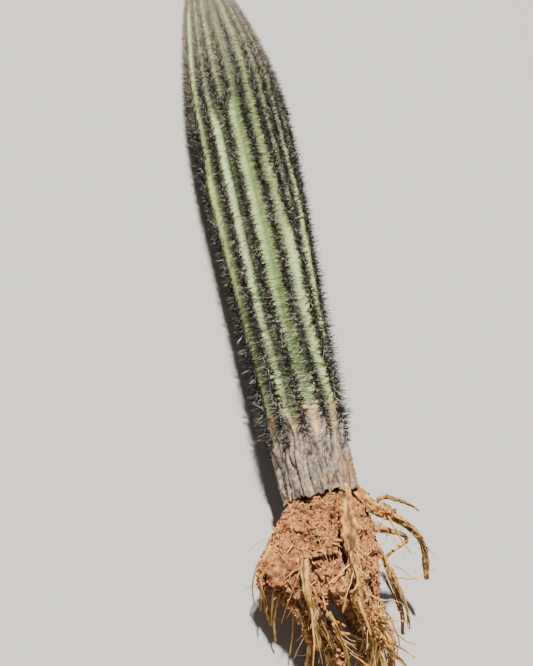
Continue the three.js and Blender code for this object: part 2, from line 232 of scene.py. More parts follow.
def soft_noise(points, size, seed=0):
    """Noise from -1 to 1: lattice numbers at the corners of cubes of a size, blended by 3t^2 - 2t^3."""
    scaled = np.asarray(points) / size
    cell = np.floor(scaled).astype(np.int64)
    part = smooth(scaled - cell)
    total = np.zeros(scaled.shape[:-1])
    for corner in np.ndindex(2, 2, 2):
        weight = np.prod(np.where(corner, part, 1 - part), axis=-1)
        total += weight * lattice_number(cell + np.array(corner), seed)
    return total * 2 - 1


def crumbly_noise(points, size, seed=0, octaves=3):
    """Soft noise at a size, plus half as much at half the size, and so on."""
    parts = [soft_noise(points, size / 2**k, seed + k) / 2**k for k in range(octaves)]
    return sum(parts) / sum(0.5**k for k in range(octaves))


check = soft_noise(np.random.default_rng(1).uniform(0, 9, (1000, 3)), 1.0)
print("noise from", round(check.min(), 2), "to", round(check.max(), 2))

# %% [markdown]
# ## The stem's profile and its ribs
# A saguaro stem is a slow swell from a narrow foot to a belly, then a blunt dome. Its skin is folded into
# ribs that let it swell with rain. Higher up there is more girth to fill, so some ribs fork into two. Each
# crest line is a function that gives its angle at any height. A forked rib is two crest lines that run side
# by side and part above the fork. That way every ring of the skin has the same number of points, and forks
# need no special mesh work.

# %% Profile and crest lines
FOOT_RADIUS = 0.116
BELLY_RADIUS = 0.2105
BELLY_START = 1.64
BELLY_END = 1.75
TAPER_STRAIGHT = 0.25
CROWN_FULLNESS = 1.45
TIP_LEAN = 0.048
LEAN_START = 1.6
FACING = -43.4  # degrees, from straight up to the side that the rib angles are counted from
RIBS = [  # angle at the foot, angle at the waist, angles at the tip, height of the fork
    (-66, -70, [-78, -58], 1.25),
    (-32, -37, [-34.5], 0),
    (0, -10, [-20, -4.5], 1.5),
    (32, 17, [10.5], 0),
    (68, 48, [27.5, 42], 0.88),
    (100, 84, [58], 0),
    (128, 113, [76, 94], 1.6),
    (156, 143, [113, 132], 1.1),
    (184, 172, [151], 0),
    (213, 201, [170, 189], 1.4),
    (240, 230, [210, 231], 0.95),
    (266, 258, [256], 0),
]
WAIST_START = 0.15
WAIST_RUN = 0.52
DRIFT_START = 0.7
DRIFT_RUN = 0.9
FORK_RUN = 0.15
TWIN_GAP = 0.003
WANDER = 0.7  # degrees that a crest strays to each side
WANDER_WAVE = 5.3  # radians of that wave in a metre

LINES = [(*rib, side) for rib in RIBS for side in ([-1, 1] if len(rib[2]) > 1 else [0])]
FOOT_ANGLE = np.array([line[0] for line in LINES], float)
WAIST_ANGLE = np.array([line[1] for line in LINES], float)
TIP_MIDDLE = np.array([np.mean(line[2]) for line in LINES])
TIP_SPREAD = np.array([(max(line[2]) - min(line[2])) / 2 for line in LINES])
FORK = np.array([line[3] for line in LINES])
SIDE = np.array([line[4] for line in LINES])
COUNT = len(LINES)


def girth(s):
    """Radius to the crests at height s: a mix of a straight taper and a smooth swell up to the belly, times
    the square root of 1 - t^1.45 over the dome."""
    rise = np.clip(s / BELLY_START, 0, 1)
    swell = TAPER_STRAIGHT * rise + (1 - TAPER_STRAIGHT) * smooth(rise)
    dome = np.clip((s - BELLY_END) / (STEM_LENGTH - BELLY_END), 0, 1)
    return (FOOT_RADIUS + (BELLY_RADIUS - FOOT_RADIUS) * swell) * np.sqrt(1 - dome**CROWN_FULLNESS)


def crest_angles(s):
    """Angles of all the crest lines at heights s, one row for each height. Each line drifts smoothly from its
    foot angle to its waist angle and on to its tip angle, strays a little by a slow wave, and parts from its
    twin above the fork."""
    s = np.asarray(s)[:, None]
    low = FOOT_ANGLE + (WAIST_ANGLE - FOOT_ANGLE) * smooth((s - WAIST_START) / WAIST_RUN)
    path = low + (TIP_MIDDLE - WAIST_ANGLE) * smooth((s - DRIFT_START) / DRIFT_RUN)
    stray = WANDER * np.sin(WANDER_WAVE * s + 2.1 * FOOT_ANGLE) * smooth(s / 0.5)
    together = np.degrees(TWIN_GAP / 2 / np.maximum(girth(s), TWIN_GAP))
    parted = TIP_SPREAD * smooth((s - FORK) / FORK_RUN)
    return path + stray + SIDE * np.maximum(together, parted)


def place(s, angle, radius):
    """The point at a height, an angle in degrees and a distance from an axis that leans left at the tip."""
    lean = np.clip((s - LEAN_START) / (STEM_LENGTH - LEAN_START), 0, 1)
    turn = np.radians(angle + FACING)
    return np.stack([AXIS_X - TIP_LEAN * lean**2 + radius * np.sin(turn),
                     SOIL_LINE + s + 0 * turn,
                     AXIS_Z + radius * np.cos(turn)], -1)


print("crest lines:", COUNT, "radius at the belly:", round(float(girth(np.array(1.7))), 4))

# %% [markdown]
# ## The skin's surface
# Between two crests the skin dips into a groove, deep where the crests are far apart. The groove's section is
# a mix of a V and a cosine: round on the crest, creased at the bottom. On top of that come the small things
# that make it a plant: a notch between every two spine pads, shallow pleats across the flanks, and slow
# dents. The cork foot is the same surface with its grooves nearly filled and rough fissures running up it.

# %% Surface function
GROOVE_SHARE = 0.38  # depth of a groove as a share of its width
CORK_GROOVE_SHARE = 0.12
GREENING = 0.22  # the run over which grooves deepen above the cork
V_SHARE = 0.65  # how much of the groove's section is a plain V
PAD_PITCH = 0.019
NOTCH = 0.0022
PLEAT = 0.0018
PLEAT_PITCH = 0.031
DENT = 0.0022
CREASES = [(1.54, -38, 3), (1.93, -70, -28)]  # height, and from which angle to which
CREASE_DEPTH = 0.008
CREASE_WIDE = 0.011
CORK_EDGE = 0.265
CORK_TONGUES = 0.07  # how much lower the cork ends in the grooves
CORK_RAGGED = 0.06
CORK_FADE = 0.03
CORK_PROUD = 0.006
FISSURE = 0.015
CRACKS = [(0.02, 17, 6, 3.6), (0.009, 19, 5, 4), (0.011, 27, 0.7, 5)]  # size, seed, stretch and narrowness


def cork_cover(s, valley, points):
    """How corky the skin is, from 0 to 1: all cork near the soil, with green tongues down the grooves."""
    edge = CORK_EDGE - CORK_TONGUES * valley + CORK_RAGGED * crumbly_noise(points, 0.05, 31)
    return smooth((edge + CORK_FADE / 2 - s) / CORK_FADE)


def bark_cracks(flat):
    """The three sets of cracks in the cork: deep long ones, fine long ones and short ones across. A crack is
    1 in its middle, where noise that is stretched along the stem crosses zero."""
    return [np.clip(1 - np.abs(crumbly_noise(flat * np.array([1, 1 / stretch, 1]), size, seed, 2)) * narrow,
                    0, 1) ** 1.2 for size, seed, stretch, narrow in CRACKS]


def cork_relief(flat):
    """Plates with fissures between them, a finer set of cracks, short cracks across, and grit."""
    plates = soft_noise(flat * np.array([1, 0.35, 1]), 0.02, 23)
    deep, fine, across = bark_cracks(flat)
    grit = 0.0018 * soft_noise(flat, 0.005, 29)
    return 0.003 * plates - FISSURE * deep - 0.005 * fine - 0.002 * across + grit + CORK_PROUD


def skin_relief(s, valley, flat, angle):
    """Notches along the crest, pleats across the flanks that come and go, and slow dents, fading at the tip.
    Two short creases mark where growth paused, each exp(-distance^2) deep across a few ribs."""
    fade = smooth((STEM_LENGTH - s) / 0.25)
    notch = -NOTCH * (1 - np.cos(2 * np.pi * s / PAD_PITCH)) / 2 * np.clip(1 - 3 * valley, 0, 1)
    bent = s + 0.02 * valley
    wave = np.maximum(0, np.sin(2 * np.pi * bent / PLEAT_PITCH)) ** 3
    pleat = -PLEAT * smooth(soft_noise(flat, 0.11, 5) * 1.6) * wave * np.sin(np.pi * valley)
    crease = 0
    for height, first, last in CREASES:
        across = smooth((angle - first) / 8) * smooth((last - angle) / 8)
        crease = crease - CREASE_DEPTH * across * np.exp(-(((s - height) / CREASE_WIDE) ** 2))
    return (notch + pleat + crease + DENT * crumbly_noise(flat, 0.13, 9, 2)) * fade


def stem_surface(heights, samples):
    """The grid of skin points for rows of heights, with samples from crest to crest, and each point's height,
    place in its groove (0 crest to 1 bottom) and cork cover."""
    crest = crest_angles(heights)
    line = np.repeat(np.arange(COUNT), samples)
    t = np.tile(np.arange(samples) / samples, COUNT)
    start = crest[:, line]
    end = crest[:, (line + 1) % COUNT] + 360.0 * (line + 1 == COUNT)
    s = heights[:, None] + 0 * start
    angle = start + (end - start) * t
    arc = np.radians(end - start) * girth(s)
    valley = 1 - np.abs(2 * t - 1) + 0 * s
    valley = np.where(arc < 3 * TWIN_GAP, 0, valley)
    section = V_SHARE * valley + (1 - V_SHARE) * (1 - np.cos(np.pi * valley)) / 2
    flat = place(s, angle, girth(s))
    cork = cork_cover(s, valley, flat)
    green = smooth((s - CORK_HEIGHT + 0.06) / GREENING)
    radius = girth(s) - arc * (CORK_GROOVE_SHARE + (GROOVE_SHARE - CORK_GROOVE_SHARE) * green) * section
    radius += skin_relief(s, valley, flat, angle) * (1 - cork) + cork_relief(flat) * cork
    return place(s, angle, radius), s, valley, cork


print("groove depth between ribs 70 mm apart:", round(0.07 * GROOVE_SHARE * 1000, 1), "mm")

# %% [markdown]
# ## Materials
# Everything on this plant is matte or waxy, so one Principled shader serves for all, and the work is in the
# colour. Two effects come back in several materials: colours that vary in blotches, and a fine grain that is
# also felt as bump. Each is a node group that is built once, with its own inputs, and used wherever needed.

# %% Node groups
def add_node(tree, kind, settings=None, values=None):
    """A shader node of a kind, with its settings, and with values on its input sockets."""
    node = tree.nodes.new("ShaderNode" + kind)
    for key, value in (settings or {}).items():
        setattr(node, key, value)
    for key, value in (values or {}).items():
        node.inputs[key].default_value = value
    return node


def wire(tree, *links):
    """Links nodes: each link is a node, its output, the next node and its input."""
    for source, out, target, into in links:
        tree.links.new(source.outputs[out], target.inputs[into])


def new_group(name, inputs, outputs):
    """A shader node group with named sockets: inputs and outputs map a name to a type of socket."""
    group = bpy.data.node_groups.new(name, "ShaderNodeTree")
    for in_out, sockets in (("INPUT", inputs), ("OUTPUT", outputs)):
        for label, kind in sockets.items():
            group.interface.new_socket(name=label, in_out=in_out, socket_type="NodeSocket" + kind)
    return group, group.nodes.new("NodeGroupInput"), group.nodes.new("NodeGroupOutput")


def blotch_group():
    """Mixes two colours by (noise - 0.5) x contrast + 0.5, kept between 0 and 1."""
    group, inside, outside = new_group(
        "blotches", {"Vector": "Vector", "Color A": "Color", "Color B": "Color", "Scale": "Float",
                     "Contrast": "Float"}, {"Color": "Color"})
    noise = add_node(group, "TexNoise", {}, {"Detail": 4.0, "Roughness": 0.6})
    centred = add_node(group, "Math", {"operation": "SUBTRACT"}, {1: 0.5})
    sharp = add_node(group, "Math", {"operation": "MULTIPLY_ADD", "use_clamp": True}, {2: 0.5})
    mix = add_node(group, "Mix", {"data_type": "RGBA"})
    wire(group, (inside, "Vector", noise, "Vector"), (inside, "Scale", noise, "Scale"),
         (noise, "Fac", centred, 0), (centred, 0, sharp, 0), (inside, "Contrast", sharp, 1),
         (sharp, 0, mix, "Factor"), (inside, "Color A", mix, "A"), (inside, "Color B", mix, "B"),
         (mix, "Result", outside, "Color"))
    return group


def grain_group():
    """Fine noise as a height for bump, and as a small lightening and darkening of a colour."""
    group, inside, outside = new_group(
        "grain", {"Vector": "Vector", "Color": "Color", "Scale": "Float", "Depth": "Float"},
        {"Color": "Color", "Height": "Float"})
    noise = add_node(group, "TexNoise", {}, {"Detail": 5.0, "Roughness": 0.65})
    spread = add_node(group, "MapRange", {},
                      {"From Min": 0.3, "From Max": 0.7, "To Min": 0.55, "To Max": 1.25})
    darker = add_node(group, "Mix", {"data_type": "RGBA", "blend_type": "MULTIPLY"})
    wire(group, (inside, "Vector", noise, "Vector"), (inside, "Scale", noise, "Scale"),
         (noise, "Fac", spread, "Value"), (inside, "Depth", darker, "Factor"), (inside, "Color", darker, "A"),
         (spread, "Result", darker, "B"), (darker, "Result", outside, "Color"),
         (noise, "Fac", outside, "Height"))
    return group


BLOTCHES = blotch_group()
GRAIN = grain_group()
print("node groups:", BLOTCHES.name, GRAIN.name)

# %% Material helpers
BUMP_DISTANCE = 0.002


def colour(red, green, blue):
    """A colour given from 0 to 255 as a picture shows it, as the linear values of a shader."""
    given = np.array([red, green, blue]) / 255
    linear = np.where(given < 0.04045, given / 12.92, ((given + 0.055) / 1.055) ** 2.4)
    return (*linear, 1)


def plain_material(name, base, roughness):
    """One colour all over, for needles and crumbs too small to show a pattern."""
    material = bpy.data.materials.new(name)
    material.use_nodes = True
    shader = material.node_tree.nodes["Principled BSDF"]
    shader.inputs["Base Color"].default_value = base
    shader.inputs["Roughness"].default_value = roughness
    return material


def painted(tree, where, blotches, layers):
    """The colour of blotches with layers over them. A layer is an attribute of the mesh, and what shows where
    that is 1: a colour, or a list of blotches and layers of its own."""
    values = dict(zip(("Color A", "Color B", "Scale", "Contrast"), blotches))
    under = add_node(tree, "Group", {"node_tree": BLOTCHES}, values)
    wire(tree, (where, "Object", under, "Vector"))
    out = "Color"
    for name, over in layers:
        mask = add_node(tree, "Attribute", {"attribute_name": name})
        mix = add_node(tree, "Mix", {"data_type": "RGBA"})
        if isinstance(over, list):
            wire(tree, (*painted(tree, where, *over), mix, "B"))
        else:
            mix.inputs["B"].default_value = over
        wire(tree, (mask, "Fac", mix, "Factor"), (under, out, mix, "A"))
        under, out = mix, "Result"
    return under, out


def matte_material(name, blotches, layers, grain, depth, bump, roughness):
    """A matte material: painted blotches of two colours, darkened by grain, whose height is also its bump."""
    material = plain_material(name, colour(128, 128, 128), roughness)
    tree = material.node_tree
    where = add_node(tree, "TexCoord")
    grains = add_node(tree, "Group", {"node_tree": GRAIN}, {"Scale": grain, "Depth": depth})
    relief = add_node(tree, "Bump", {}, {"Strength": bump, "Distance": BUMP_DISTANCE})
    shader = tree.nodes["Principled BSDF"]
    wire(tree, (*painted(tree, where, blotches, layers), grains, "Color"),
         (where, "Object", grains, "Vector"), (grains, "Color", shader, "Base Color"),
         (grains, "Height", relief, "Height"), (relief, "Normal", shader, "Normal"))
    print(name, len(tree.nodes), "nodes")
    return material


print("a middle grey is", round(float(colour(128, 128, 128)[0]), 3), "in linear values")

# %% [markdown]
# ## Skin finish
# The living skin is waxy and yellow-green in blotches. Its grooves are painted a deeper green, deepest at
# their bottoms, and its crests a dull olive: both are painted shade, the shade that falls into the grooves
# and under the needles. Towards the soil it dies back to tan and then to grey cork, which is soil brown where
# it passes over into the right roots; the cork's cracks are painted near-black as painted shade in the
# fissures.
# The mesh knows where its grooves, its cork and its cracks are, so it carries them as attributes, and the
# material mixes its colours by them. A painted image could do it too, but attributes follow the surface.

# %% Skin material
# In CORK, crack is painted shade, near-black in the fissures; collar is the soil brown of the roots.
CORK = [(colour(114, 102, 92), colour(166, 140, 114), 30, 5),
        [("collar", colour(154, 116, 72)), ("crack", colour(40, 32, 28))]]
# groove and crest below are painted shade: a deeper green in the grooves and olive along the crests.
SKIN = matte_material(
    "green_skin", (colour(222, 234, 152), colour(180, 208, 124), 12, 2.4),
    [("groove", colour(94, 118, 64)), ("crest", colour(92, 92, 62)), ("dieback", colour(204, 172, 116)),
     ("cork", CORK)], grain=260, depth=0.4, bump=0.3, roughness=0.6)

# %% [markdown]
# ## Skin pieces
# One surface function serves the whole stem, but a piece should stay under two hundred thousand triangles. So
# the stem is three pieces that share their end rings: the corky foot, the lower stem and the upper stem with
# the dome. The foot gets closer rings for its fissures.

# %% Build the skin
SKIN_SAMPLES = 18  # from crest to crest, the same in each piece, so that their end rings match
SKIN_STEP = 0.005
FOOT_STEP = 0.0032
FOOT_TOP = 0.4
MIDDLE = 1.5
CROWN_STEPS = 190
DIEBACK_HEIGHT = 0.33
COLLAR_MIDDLE = np.array([0.05, 0, 0.325])  # where the cork passes over into the right roots
COLLAR_REACH = 0.125
COLLAR_RAGGED = 0.05
COLLAR_FADE = 0.07
EDGE_NEAR = 0.05  # how far up the cork its ragged edge is felt


def skin_piece(name, heights, grid_edit=None):
    """A closed piece of the stem between its first and last height, with its masks as attributes."""
    grid, s, valley, cork = stem_surface(heights, SKIN_SAMPLES)
    grid[..., 2] = np.maximum(grid[..., 2], 0)
    if grid_edit is not None:
        grid = grid_edit(grid, s)
    piece = make_object(name, *closed_tube(grid), [SKIN])
    flat = grid.reshape(-1, 3)
    ragged = crumbly_noise(flat, 0.035, 41).reshape(s.shape)
    deep, fine, across = [crack.reshape(s.shape) for crack in bark_cracks(flat)]
    beside = np.linalg.norm(flat - STEM_BASE - COLLAR_MIDDLE, axis=-1).reshape(s.shape)
    collar = smooth((COLLAR_REACH - beside + COLLAR_RAGGED * ragged) / COLLAR_FADE)
    masks = {
        # painted shade in the grooves, deepest at their bottoms
        "groove": valley**1.5,
        # painted shade on the crests, under the needles
        "crest": 0.85 * np.clip(1 - valley / 0.35, 0, 1),
        "cork": cork,
        # painted shade in the cork's fissures, a little weaker where the collar is
        "crack": np.maximum(deep, np.maximum(0.85 * fine, 0.4 * across)) * (1 - 0.2 * collar),
        "collar": collar * np.clip(0.8 + 0.5 * ragged - 0.25 * fine, 0, 1),
        "dieback": 0.9 * smooth((DIEBACK_HEIGHT - s + 0.09 * ragged - 0.05 * valley) / 0.05),
    }
    for mask, values in masks.items():
        add_attribute(piece, mask, values)
    return piece


def ragged_edge(grid, s):
    """Lets the lowest rings of the cork hang down unevenly, and folds the last ring in under the edge."""
    drop = np.minimum(0.014 * crumbly_noise(grid[0] * np.array([1, 0, 1]), 0.02, 43) - 0.003, 0.003)
    grid[..., 1] += smooth((EDGE_NEAR - s) / EDGE_NEAR) * drop
    axis = np.array([AXIS_X, 0, AXIS_Z])
    for row, (pull, lift) in enumerate([(0.8, 0.012), (0.93, 0.003)]):
        grid[row] = grid[2] + (axis - grid[2]) * np.array([1, 0, 1]) * (1 - pull)
        grid[row, :, 1] = grid[2, :, 1] + lift
    return grid


foot_heights = np.concatenate([[0, 0], np.arange(0, FOOT_TOP, FOOT_STEP), [FOOT_TOP]])
crown_turn = np.linspace(0, np.radians(88), CROWN_STEPS)
crown_heights = BELLY_END + (STEM_LENGTH - BELLY_END) * np.sin(crown_turn)
upper_heights = np.concatenate([np.arange(MIDDLE, BELLY_END - 1e-6, SKIN_STEP), crown_heights])
finish_piece(skin_piece("cork_skin", foot_heights, ragged_edge), "cork_bark", "cork_foot")
finish_piece(skin_piece("lower_skin", np.arange(FOOT_TOP, MIDDLE + 1e-6, SKIN_STEP)), "green_skin")
finish_piece(skin_piece("upper_skin", upper_heights), "green_skin", "column")

# %% [markdown]
# ## Where the spine pads sit
# Spines grow from small felt pads, one above the other along each crest. The pads are spaced evenly along the
# surface, not along the axis, and closer together towards the tip, so their heights come from the length of
# the profile curve. A forked rib has two rows of pads only from where its crests have parted.

# %% Pads
PAD_START = 0.165
ROW_PARTS = 0.02
CROWN_PITCH = 0.0125
ROW_ENDS = (0.022, 0.045)  # the girth where even and odd rows end near the tip
PAD_SUNK = 0.0008


def pad_heights():
    """Heights of the pads: the profile's length is summed up in fine steps and divided by the local pitch."""
    s = np.linspace(PAD_START, STEM_LENGTH - 0.0005, 6000)
    pitch = PAD_PITCH + (CROWN_PITCH - PAD_PITCH) * smooth((s - BELLY_END) / (STEM_LENGTH - BELLY_END))
    steps = np.hypot(np.diff(s), np.diff(girth(s))) / pitch[1:]
    count = np.concatenate([[0], np.cumsum(steps)])
    return np.interp(np.arange(int(count[-1])), count, s)


def profile_normal(s):
    """How far the skin's outward direction points away from the axis, and how far along it."""
    slope = (girth(s + 1e-4) - girth(s - 1e-4)) / 2e-4
    size = np.sqrt(1 + slope**2)
    return 1 / size, -slope / size


def row_of_pads(line):
    """Heights, places, outward, along and across directions of one crest line's pads."""
    s = pad_heights() + 0.004 * math.sin(line * 2.4)
    s = s[s < STEM_LENGTH - 0.0006]
    angles = crest_angles(s)
    keep = (s < BELLY_END) | (girth(s) > ROW_ENDS[line % 2])
    if SIDE[line] > 0:
        arc = np.radians(angles[:, line] - angles[:, line - 1]) * girth(s)
        keep &= arc > ROW_PARTS
    s, angle = s[keep], angles[keep, line]
    away, forward = profile_normal(s)
    turn = np.radians(angle + FACING)
    out = np.stack([away * np.sin(turn), forward, away * np.cos(turn)], -1)
    along = np.stack([-forward * np.sin(turn), away, -forward * np.cos(turn)], -1)
    return s, place(s, angle, girth(s) - PAD_SUNK), out, along, np.cross(along, out)


ROWS = [row_of_pads(line) for line in range(COUNT)]
print("pads:", sum(len(row[0]) for row in ROWS))

# %% [markdown]
# ## Needles
# A needle is a thin three-sided cone, and a long one is bent a little in the middle. Each pad has a wheel of
# spines that lie low over the flanks and a few that stand out. Particles or Geometry Nodes could scatter
# them, but the exported model drops what isn't a real mesh, so numpy works out all the needles of a rib at
# once: one array of directions, one of lengths, and four or seven points a needle.

# %% Needle shapes
NEEDLE_MATERIALS = [
    plain_material("spine_dark", colour(17, 16, 17), 0.6),
    plain_material("spine_grey", colour(64, 61, 60), 0.55),
    # Pale needles are partly pale spines and partly painted glints, light caught by dark needles.
    plain_material("spine_pale_and_glint", colour(214, 205, 188), 0.45),
    plain_material("spine_tan", colour(204, 190, 178), 0.5),
]
SHORT_LEVELS = [(0.0, 1.0)]  # how far up the needle each ring is, and how thick it is there
LONG_LEVELS = [(0.0, 1.0), (0.55, 0.72)]
SHORT_FACES = np.array([[0, 2, 1], [0, 1, 3], [1, 2, 3], [2, 0, 3]])
LONG_FACES = np.array([[0, 2, 1], [0, 1, 4], [0, 4, 3], [1, 2, 5], [1, 5, 4], [2, 0, 3], [2, 3, 5],
                       [3, 4, 6], [4, 5, 6], [5, 3, 6]])


def unit(vectors):
    """Vectors scaled to length one."""
    return vectors / np.maximum(np.linalg.norm(vectors, axis=-1, keepdims=True), 1e-12)


def needle_rings(base, way, length, thick, bend, levels):
    """Points of many needles: a ring of three at each level, then the tip. The rings move sideways by a share
    of bend, which curves the needle."""
    side = unit(np.cross(way, np.array([0.3, 0.5, 0.81])))
    other = np.cross(way, side)
    points = []
    for share, width in levels:
        middle = base + way * (length * share)[..., None] + bend * share
        for turn in (0, 2 * np.pi / 3, 4 * np.pi / 3):
            offset = side * math.cos(turn) + other * math.sin(turn)
            points.append(middle + offset * (thick * width / 2)[..., None])
    points.append(base + way * length[..., None] + bend * 0.4)
    return np.stack(points, -2).reshape(-1, 3 * len(levels) + 1, 3)


def needles_object(name, batches):
    """One mesh of batches of needles. Each batch has its points, its needles' faces and their materials."""
    points, faces = joined([(points.reshape(-1, 3), copies(len(points), points.shape[1], faces))
                            for points, faces, _ in batches])
    kinds = np.concatenate([np.repeat(kind.ravel(), len(faces)) for _, faces, kind in batches])
    points[:, 2] = np.maximum(points[:, 2], GROUND)
    return make_object(name, points, faces, NEEDLE_MATERIALS, kinds, smooth=False)


print("faces of a needle:", len(SHORT_FACES), "or", len(LONG_FACES))

# %% Grow the needles of every rib
NEEDLE_THICK = 0.002
NEEDLE_BEND = 0.0016
BASE_SPREAD = 0.0026
SIDEWAYS = 0.42  # how strongly needles favour the flanks over the crest, from 0 to 0.5
COMB = 0.75  # and how little they lean along the rib
DROOP = 0.12  # how far they all lean towards the foot
NEEDLE_SORTS = [  # how many on a pad, lowest and highest angle above the skin, length, levels and faces
    (34, -20, 34, 0.034, SHORT_LEVELS, SHORT_FACES),
    (12, -26, 12, 0.052, SHORT_LEVELS, SHORT_FACES),
    (13, 28, 88, 0.037, LONG_LEVELS, LONG_FACES),
]


def spine_age(s):
    """How long spines are at a height: long at the foot, shorter over the dome, and worn stubs in cork."""
    worn = 0.45 + 0.55 * smooth((s - 0.16) / 0.07)
    return worn * (1.25 - 0.25 * smooth((s - 0.35) / 0.6) - 0.34 * smooth((s - 1.7) / 0.8))


def needle_kinds(s, rng, shape):
    """Which material each needle takes: mostly dark, some grey, some pale ones that are partly painted
    glints, and more tan towards the tip.
    """
    draw = rng.uniform(0, 1, shape)
    young = smooth((s - 1.4) / 1.1)[:, None]
    kinds = np.where(draw < 0.7 - 0.38 * young, 0, np.where(draw < 0.9 - 0.33 * young, 1, 2))
    return np.where(rng.uniform(0, 1, shape) < 0.04 + 0.5 * young, 3, kinds)


def grow_needles(line):
    """The needles of one crest line: for each pad, radials that lie low all round it, some of them long
    enough to reach into the grooves, and centrals that stand out. A direction is a share of outward, across
    and along, by an angle round the pad and one above the skin. The angle round the pad is u - 0.42 sin 2u of
    an even u, which draws it towards the two flanks."""
    s, pads, out, along, across = ROWS[line]
    rng = np.random.default_rng(100 + line)
    batches = []
    for number, low, high, reach, levels, faces in NEEDLE_SORTS:
        shape = (len(s), number)
        even = rng.uniform(0, 2 * np.pi, shape)
        round_pad = even - SIDEWAYS * np.sin(2 * even)
        above = np.radians(rng.uniform(low, high, shape))
        way = (out[:, None] * np.sin(above)[..., None]
               + across[:, None] * (np.cos(above) * np.cos(round_pad))[..., None]
               + along[:, None] * (COMB * np.cos(above) * np.sin(round_pad) - DROOP)[..., None])
        length = reach * spine_age(s)[:, None] * rng.uniform(0.6, 1.15, shape)
        thick = NEEDLE_THICK * (1 - 0.4 * smooth((s - 1.7) / 0.8))[:, None] * rng.uniform(0.8, 1.2, shape)
        bend = rng.normal(0, NEEDLE_BEND, (*shape, 3))
        base = pads[:, None] + rng.normal(0, BASE_SPREAD, (*shape, 3))
        batches.append((needle_rings(base, unit(way), length, thick, bend, levels), faces,
                        needle_kinds(s, rng, shape)))
    return batches


total = 0
for line in range(COUNT):
    batches = grow_needles(line)
    total += sum(kind.size for _, _, kind in batches)
    rib = f"rib_{line + 1:02d}"
    finish_piece(needles_object("needles_" + rib, batches), "spines", "spines_" + rib)
print("needles:", total)

# %% Tuft at the tip
TUFT_NEEDLES = 260
TUFT_REACH = 0.03


def tuft():
    """Short young needles that fan out from a small disc over the growing point."""
    rng = np.random.default_rng(77)
    tip = place(np.array(STEM_LENGTH), np.array(0.0), np.array(0.0))
    turn = rng.uniform(0, 2 * np.pi, TUFT_NEEDLES)
    reach = np.sqrt(rng.uniform(0, 1, TUFT_NEEDLES)) * TUFT_REACH
    flat = np.stack([np.cos(turn), 0 * turn, np.sin(turn)], -1)
    forward = np.array([0, 1, 0])
    base = tip + flat * reach[:, None] - forward * (reach**2 * 9 + 0.001)[:, None]
    way = unit(flat * (reach / TUFT_REACH)[:, None] * 0.9 + forward + rng.normal(0, 0.35, base.shape))
    length = rng.uniform(0.01, 0.021, TUFT_NEEDLES)
    thick = np.full(TUFT_NEEDLES, 0.0015)
    points = needle_rings(base, way, length, thick, rng.normal(0, 0.001, base.shape), SHORT_LEVELS)
    return [(points, SHORT_FACES, np.where(rng.uniform(0, 1, TUFT_NEEDLES) < 0.6, 3, 2))]


finish_piece(needles_object("needles_tip", tuft()), "spines", "spines_tip")

# %% [markdown]
# ## Felt pads
# Under each bundle of needles sits a button of grey-tan felt. Over two thousand of them are one mesh of low
# domes with six sides, which is plenty at their size.

# %% Felt
FELT = matte_material("felt", (colour(104, 92, 78), colour(134, 120, 102), 300, 3), [],
                      grain=900, depth=0.5, bump=0.3, roughness=0.95)
PAD_WIDE = 0.0055
PAD_LONG = 0.0075
PAD_HIGH = 0.0042
PAD_RINGS = [(1.0, -0.5), (0.95, 0.35), (0.55, 0.85)]  # how wide each ring is, and how high


def felt_pads():
    """A dome on each pad place: three rings of six points, a middle point on top and one below."""
    _, pads, out, along, across = [np.concatenate([row[k] for row in ROWS]) for k in range(5)]
    turn = np.arange(6) * np.pi / 3
    rings = [pads[:, None] + across[:, None] * (np.cos(turn) * PAD_WIDE * spread)[:, None]
             + along[:, None] * (np.sin(turn) * PAD_LONG * spread)[:, None]
             + out[:, None] * PAD_HIGH * high for spread, high in PAD_RINGS]
    ends = [(pads + out * PAD_HIGH)[:, None], (pads - out * PAD_HIGH * 0.6)[:, None]]
    step = np.arange(6)
    after = (step + 1) % 6
    one = [np.stack([k * 6 + step, (k + 1) * 6 + step, (k + 1) * 6 + after], -1) for k in (0, 1)]
    one += [np.stack([k * 6 + step, (k + 1) * 6 + after, k * 6 + after], -1) for k in (0, 1)]
    one.append(np.stack([12 + step, np.full(6, 18), 12 + after], -1))
    one.append(np.stack([step, after, np.full(6, 19)], -1))
    flat = np.concatenate([*rings, *ends], 1).reshape(-1, 3)
    flat[:, 2] = np.maximum(flat[:, 2], GROUND)
    return flat, copies(len(pads), 20, np.concatenate(one))


finish_piece(make_object("felt_pads", *felt_pads(), [FELT]), "spines")

# %% [markdown]
# ## Soil
# The roots still hold a lump of reddish soil. A sphere of directions is pushed out to the lump's own radii,
# then by broad bulges, and then in and out by noise at four sizes, from clods to crumbs. Displace modifiers
# could do it too, but here the ledge, and the gap beside the main root, can be put exactly where they belong.

# %% Soil lump
SOIL_CENTRE = np.array([0, -0.125, 0.215])
SOIL_RADII = np.array([0.120, 0.150, 0.112])
SOIL_BUMP = 0.045
SOIL_BULGES = [  # which way each bulge or hollow points, by how much of the radius, and how wide it is
    ((-1, -0.22, -0.12), 0.92, 0.4),
    ((1, -0.85, 0), 0.5, 0.5),
    ((0.1, -1, 0.1), 0.14, 0.4),
    ((-0.5, -0.7, -1), -0.36, 0.7),
    ((-0.58, -0.48, 0.66), 0.42, 0.65),
    ((-0.86, 0.5, 0.1), 0.24, 0.36),
    ((0.1, 0.72, 0.72), 0.26, 0.45),
    ((-0.2, 0.66, 0.74), 0.14, 0.32),
    ((0.85, 0.5, 0.3), 0.32, 0.38),
]
SOIL_RINGS = 240
SOIL_AROUND = 330
CLODS = [  # height, size and seed of the noise
    (0.02, 0.036, 51), (0.014, 0.018, 55), (0.0085, 0.0105, 57), (0.003, 0.006, 59)]
CLOD_MEAN = 0.0165
TOP_GAP = 0.0003  # how far the soil stays below the cork
LEDGE_LINE = -0.166
LEDGE_DEEP = 0.026
